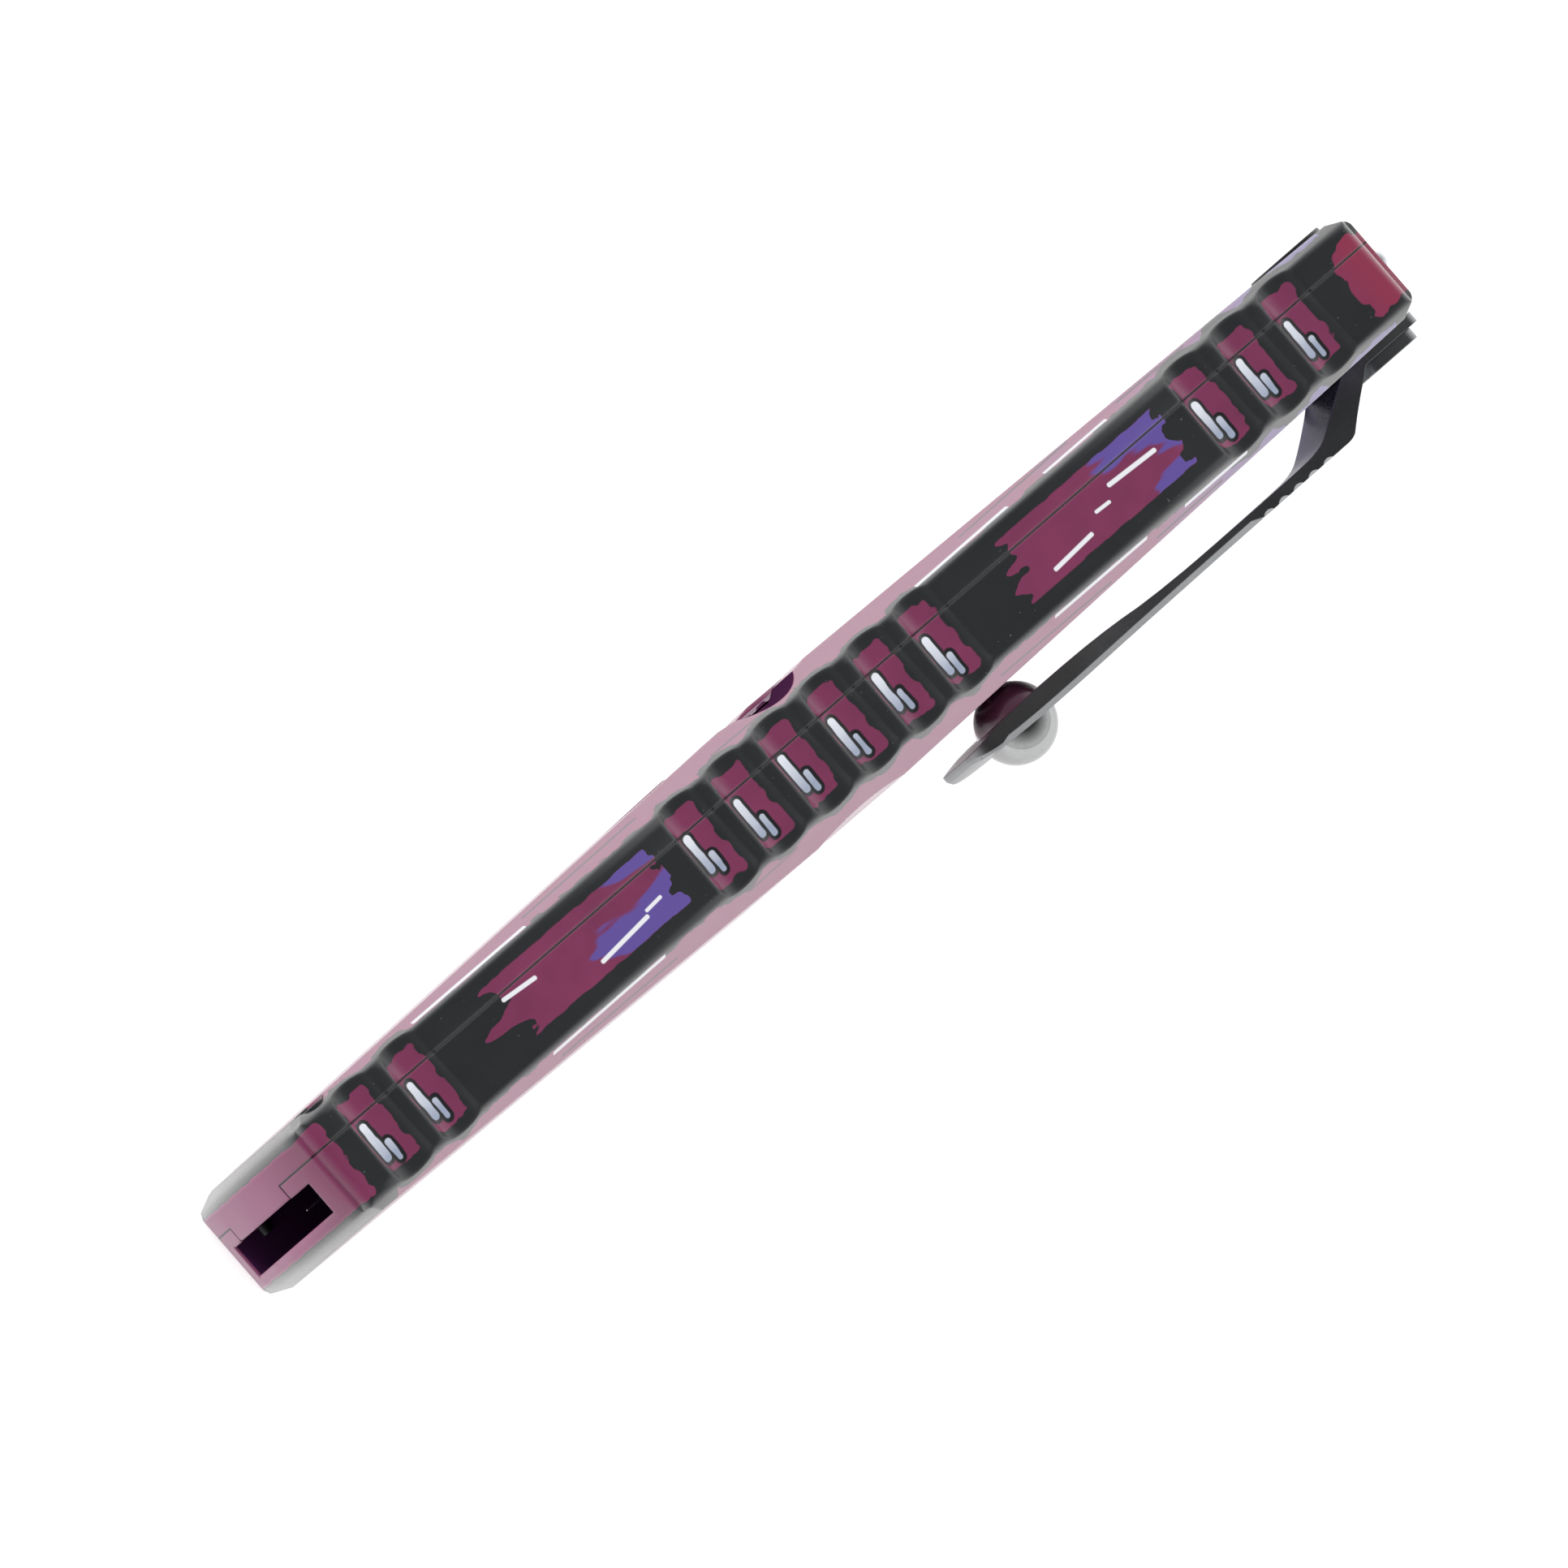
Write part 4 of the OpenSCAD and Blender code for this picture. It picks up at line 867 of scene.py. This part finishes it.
class KNIFE_OT_slide(bpy.types.Operator):
    """Dresses the thumb slide, its screw and carriage, and winds the main spring"""

    bl_idname = "knife.slide"
    bl_label = "Thumb slide and spring"

    def execute(self, context):
        lacquer = slide_paint(context.scene.knife_paint)
        remade("thumb_slide", "thumb_slide_button", lacquer, "slide", "slide_paint",
               SMALL_BREAK, smooth_below=30)
        # zinc-plated steel: bluish grey with soft clouds
        plated = metal_finish(
            "zinc-plated steel", linear("#8A8E95"), linear("#B4B8BE"), 0.3, 0.45, (1.5, 1.5, 1.5), 0.01)
        dress(plated, "slide_screw", "slide_carriage", "front_spring_truck", "rear_spring_truck")
        # spring wire: drawn, bright and slightly brown
        wire = metal_finish(
            "drawn spring wire", linear("#77787A"), linear("#A6A6A4"), 0.22, 0.36, (4.0, 4.0, 4.0), 0.005)
        corners = [v.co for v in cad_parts["main_spring"].data.vertices]
        low = Vector(min(c[i] for c in corners) for i in range(3))
        high = Vector(max(c[i] for c in corners) for i in range(3))
        foot = (low.x, (low.y + high.y) / 2, (low.z + high.z) / 2)
        metal = context.scene.knife_metal
        spring = grown("wound_main_spring", [foot], coil_tree(), {
            "Turns": float(metal.spring_turns), "Outer Diameter": min(high.y - low.y, high.z - low.z),
            "Length": high.x - low.x, "Wire": metal.spring_wire, "Material": wire})
        soften(spring, 0, smooth_below=60)
        stand_in(spring, "slide", "spring_steel", "main_spring")
        dress(wire, "front_catch_spring", "rear_catch_spring")
        return {"FINISHED"}


class KNIFE_OT_blade(bpy.types.Operator):
    """Dresses the blade, its stop pins, bumper and catches"""

    bl_idname = "knife.blade"
    bl_label = "Blade and catches"

    def execute(self, context):
        metal = context.scene.knife_metal
        # ground blade steel: fine lines across the blade, 0.1 mm apart so that they show
        ground = metal_finish(
            "ground blade steel", linear("#AFB2B6"), metal.blade, 0.2, 0.34, (10.0, 1.0, 0.4), 0.006)
        remade("blade", "ground_blade", ground, "blade", "blade_steel", BLADE_BREAK, smooth_below=5)
        # hardened pins: centreless ground and bright
        pin = metal_finish(
            "ground steel pin", linear("#94979C"), linear("#C2C5C9"), 0.18, 0.3, (5.0, 0.6, 5.0), 0.004)
        dress(pin, "front_catch_pin", "rear_catch_pin", "alignment_dowels")
        # stop pins: hardened steel, blackened in a hot bath to a dull black
        blackened = coated_finish(
            "blackened steel pin", linear("#19191B"), linear("#2A2A2D"), 0.4, 0.55, 0.2, 0.01)
        dress(blackened, "blade_stop_pins")
        # catch levers: stamped brass, dull yellow with tumbling marks
        brass = metal_finish(
            "stamped brass", linear("#A8863C"), linear("#CDAA5A"), 0.28, 0.45, (1.2, 1.2, 1.2), 0.01)
        dress(brass, "front_catch", "rear_catch")
        # bumper: black moulded acetal with a dull skin
        acetal = coated_finish("moulded acetal", linear("#141416"), linear("#222225"), 0.45, 0.6, 0.3, 0.02)
        dress(acetal, "rear_bumper")
        return {"FINISHED"}


class KNIFE_OT_clip(bpy.types.Operator):
    """Dresses the pocket clip, its keeper and its ball"""

    bl_idname = "knife.clip"
    bl_label = "Pocket clip"

    def execute(self, context):
        metal = context.scene.knife_metal
        # dark carbide coat over blasted spring steel: a dull grey metal that mirrors its surroundings softly
        coated = metal_finish(
            "dark coated steel", linear("#808284"), metal.clip, 0.26, 0.36, (6.0, 6.0, 6.0), 0.006, 0.12)
        remade("pocket_clip", "bent_clip", coated, "handle", "black_steel",
               metal.ground_rim, smooth_below=18, share=clip_share, ground=True)
        remade("clip_keeper", "clip_keeper_plate", coated, "handle", "black_steel",
               metal.edge_break, smooth_below=40)
        # bearing ball: hardened steel lapped to a mirror under a smoky coat
        smoky = metal_finish(
            "lapped dark steel", linear("#9C9D9E"), linear("#ACADAD"), 0.04, 0.08, (2.0, 2.0, 2.0), 0.001)
        remade("clip_ball", "lapped_ball", smoky, "handle", "polished_steel", 0, smooth_below=40)
        return {"FINISHED"}


class KNIFE_OT_fasteners(bpy.types.Operator):
    """Dresses the screws and the glass breaker"""

    bl_idname = "knife.fasteners"
    bl_label = "Screws and glass breaker"

    def execute(self, context):
        # screws: black oxide on hardened steel, which leaves an even, slightly glossy black
        black = coated_finish(
            "black oxide screw", linear("#222224"), linear("#343437"), 0.25, 0.4, 0.2, 0.01)
        tree = screw_tree()
        for name, node, places, head_r, head_h, length, socket, turn in SCREWS:
            screws = grown(name, [at(*place) for place in places], tree, {
                "Head Radius": head_r * MM, "Head Height": head_h * MM, "Shank Radius": SHANK_R * MM,
                "Length": length * MM, "Socket Depth": socket * MM, "Turn": math.radians(turn),
                "Material": black})
            soften(screws, SMALL_BREAK, smooth_below=40)
            stand_in(screws, "handle", "black_steel", node)
        # glass breaker: stainless steel, turned and polished so that it mirrors with a slight blur
        polished = metal_finish(
            "polished stainless steel", linear("#C2C4C8"), linear("#DADCDF"), 0.1, 0.18, (2.0, 2.0, 2.0),
            0.003)
        dress(polished, "glass_breaker")
        return {"FINISHED"}


def lay_floor():
    """A floor of pale card that shows white and keeps the shadow."""
    mesh = bpy.data.meshes.new("floor")
    corners = [(x * FLOOR_HALF, y * FLOOR_HALF, 0) for x, y in ((-1, -1), (1, -1), (1, 1), (-1, 1))]
    mesh.from_pydata(corners, [], [(0, 1, 2, 3)])
    card, tree = new_material("pale card")
    seen = add_node(tree, "ShaderNodeLightPath", {}).outputs
    shown = joined(
        tree, "MAXIMUM", seen["Is Camera Ray"], seen["Is Glossy Ray"], seen["Is Transmission Ray"])
    lift = add_node(tree, MATH, {"operation": "MULTIPLY", 0: shown, 1: CARD_LIFT})
    glow = add_node(tree, "ShaderNodeEmission", {"Color": (1, 1, 1, 1), "Strength": lift})
    matt = add_node(tree, "ShaderNodeBsdfDiffuse", {"Color": CARD_GREY})
    finish_material(tree, add_node(tree, "ShaderNodeAddShader", {0: glow, 1: matt}))
    floor = new_piece("floor", mesh, card)


def studio_world(ambient):
    """White to the camera, while reflections see it white low down and dark overhead."""
    world = bpy.data.worlds.new("studio")
    world.use_nodes = True
    tree = world.node_tree
    tree.nodes.clear()
    seen = add_node(tree, "ShaderNodeLightPath", {}).outputs
    seat = add_node(tree, "ShaderNodeTexCoord", {})
    up = add_node(tree, "ShaderNodeSeparateXYZ", {0: seat.outputs["Generated"]})
    tent = add_node(tree, RANGE, {
        "Value": up.outputs["Z"], "From Min": 0.2, "From Max": 0.8, "To Min": 1.0, "To Max": 0.1})
    level = add_node(tree, MIX, {"data_type": "FLOAT", 0: seen["Is Glossy Ray"], 2: ambient, 3: tent})
    level = joined(tree, "MAXIMUM", level, seen["Is Camera Ray"], seen["Is Transmission Ray"])
    back = add_node(tree, "ShaderNodeBackground", {"Color": (1, 1, 1, 1), "Strength": level})
    add_node(tree, "ShaderNodeOutputWorld", {"Surface": back})
    return world


def hang_lamps(scene):
    """Area lamps that face the knife and aren't seen in reflections."""
    for name, place, size, power in LAMPS:
        lamp = bpy.data.lights.new(name, "AREA")
        lamp.size = size
        lamp.energy = power
        light = bpy.data.objects.new(name, lamp)
        light.location = place
        light.rotation_euler = Vector(place).to_track_quat("Z", "Y").to_euler()
        light.visible_glossy = False
        scene.collection.objects.link(light)


def set_camera(scene, stage):
    """A camera that leans towards the nose and rolls, with the picture's axes worked out from both angles."""
    back_way = Vector((math.sin(stage.tilt), 0, math.cos(stage.tilt)))
    along = Vector((-math.cos(stage.tilt), 0, math.sin(stage.tilt)))
    down = Vector((0, -1, 0))
    right = math.cos(stage.roll) * along - math.sin(stage.roll) * down
    upward = math.sin(stage.roll) * along + math.cos(stage.roll) * down
    lens = bpy.data.cameras.new("camera")
    lens.lens = stage.lens
    lens.sensor_width = 36
    lens.clip_start = 0.01
    lens.clip_end = 20
    camera = bpy.data.objects.new("camera", lens)
    turn = Matrix((right, upward, back_way)).transposed().to_4x4()
    camera.matrix_world = Matrix.Translation(Vector(stage.target) + back_way * stage.distance) @ turn
    scene.collection.objects.link(camera)
    scene.camera = camera


class KNIFE_OT_stage(bpy.types.Operator):
    """Sets the floor, the lights, the world and the camera"""

    bl_idname = "knife.stage"
    bl_label = "Stage"

    def execute(self, context):
        scene, stage = context.scene, context.scene.knife_stage
        scene.view_settings.view_transform = "Standard"
        lay_floor()
        scene.world = studio_world(stage.ambient)
        hang_lamps(scene)
        set_camera(scene, stage)
        return {"FINISHED"}


class KNIFE_PT_panel(bpy.types.Panel):
    """Lists the steps in the order in which they are run"""

    bl_idname = "KNIFE_PT_panel"
    bl_label = "Pocket Knife"
    bl_space_type = "VIEW_3D"
    bl_region_type = "UI"
    bl_category = "Pocket Knife"

    def draw(self, context):
        for group in ("knife_paint", "knife_metal", "knife_stage"):
            settings = getattr(context.scene, group)
            column = self.layout.column()
            for name in settings.__annotations__:
                column.prop(settings, name)
        for step in STEPS:
            self.layout.operator(step.bl_idname)


GROUPS = {"knife_paint": PaintSettings, "knife_metal": MetalSettings, "knife_stage": StageSettings}
STEPS = (KNIFE_OT_handle, KNIFE_OT_slide, KNIFE_OT_blade, KNIFE_OT_clip, KNIFE_OT_fasteners, KNIFE_OT_stage)
CLASSES = tuple(GROUPS.values()) + STEPS + (KNIFE_PT_panel,)


def register():
    for kind in CLASSES:
        bpy.utils.register_class(kind)
    for name, kind in GROUPS.items():
        setattr(bpy.types.Scene, name, PointerProperty(type=kind))


def unregister():
    for name in GROUPS:
        delattr(bpy.types.Scene, name)
    for kind in reversed(CLASSES):
        bpy.utils.unregister_class(kind)


def main():
    register()
    bpy.ops.knife.stage()
    bpy.ops.knife.handle()
    bpy.ops.knife.slide()
    bpy.ops.knife.blade()
    bpy.ops.knife.clip()
    bpy.ops.knife.fasteners()


if __name__ == "__main__":
    main()
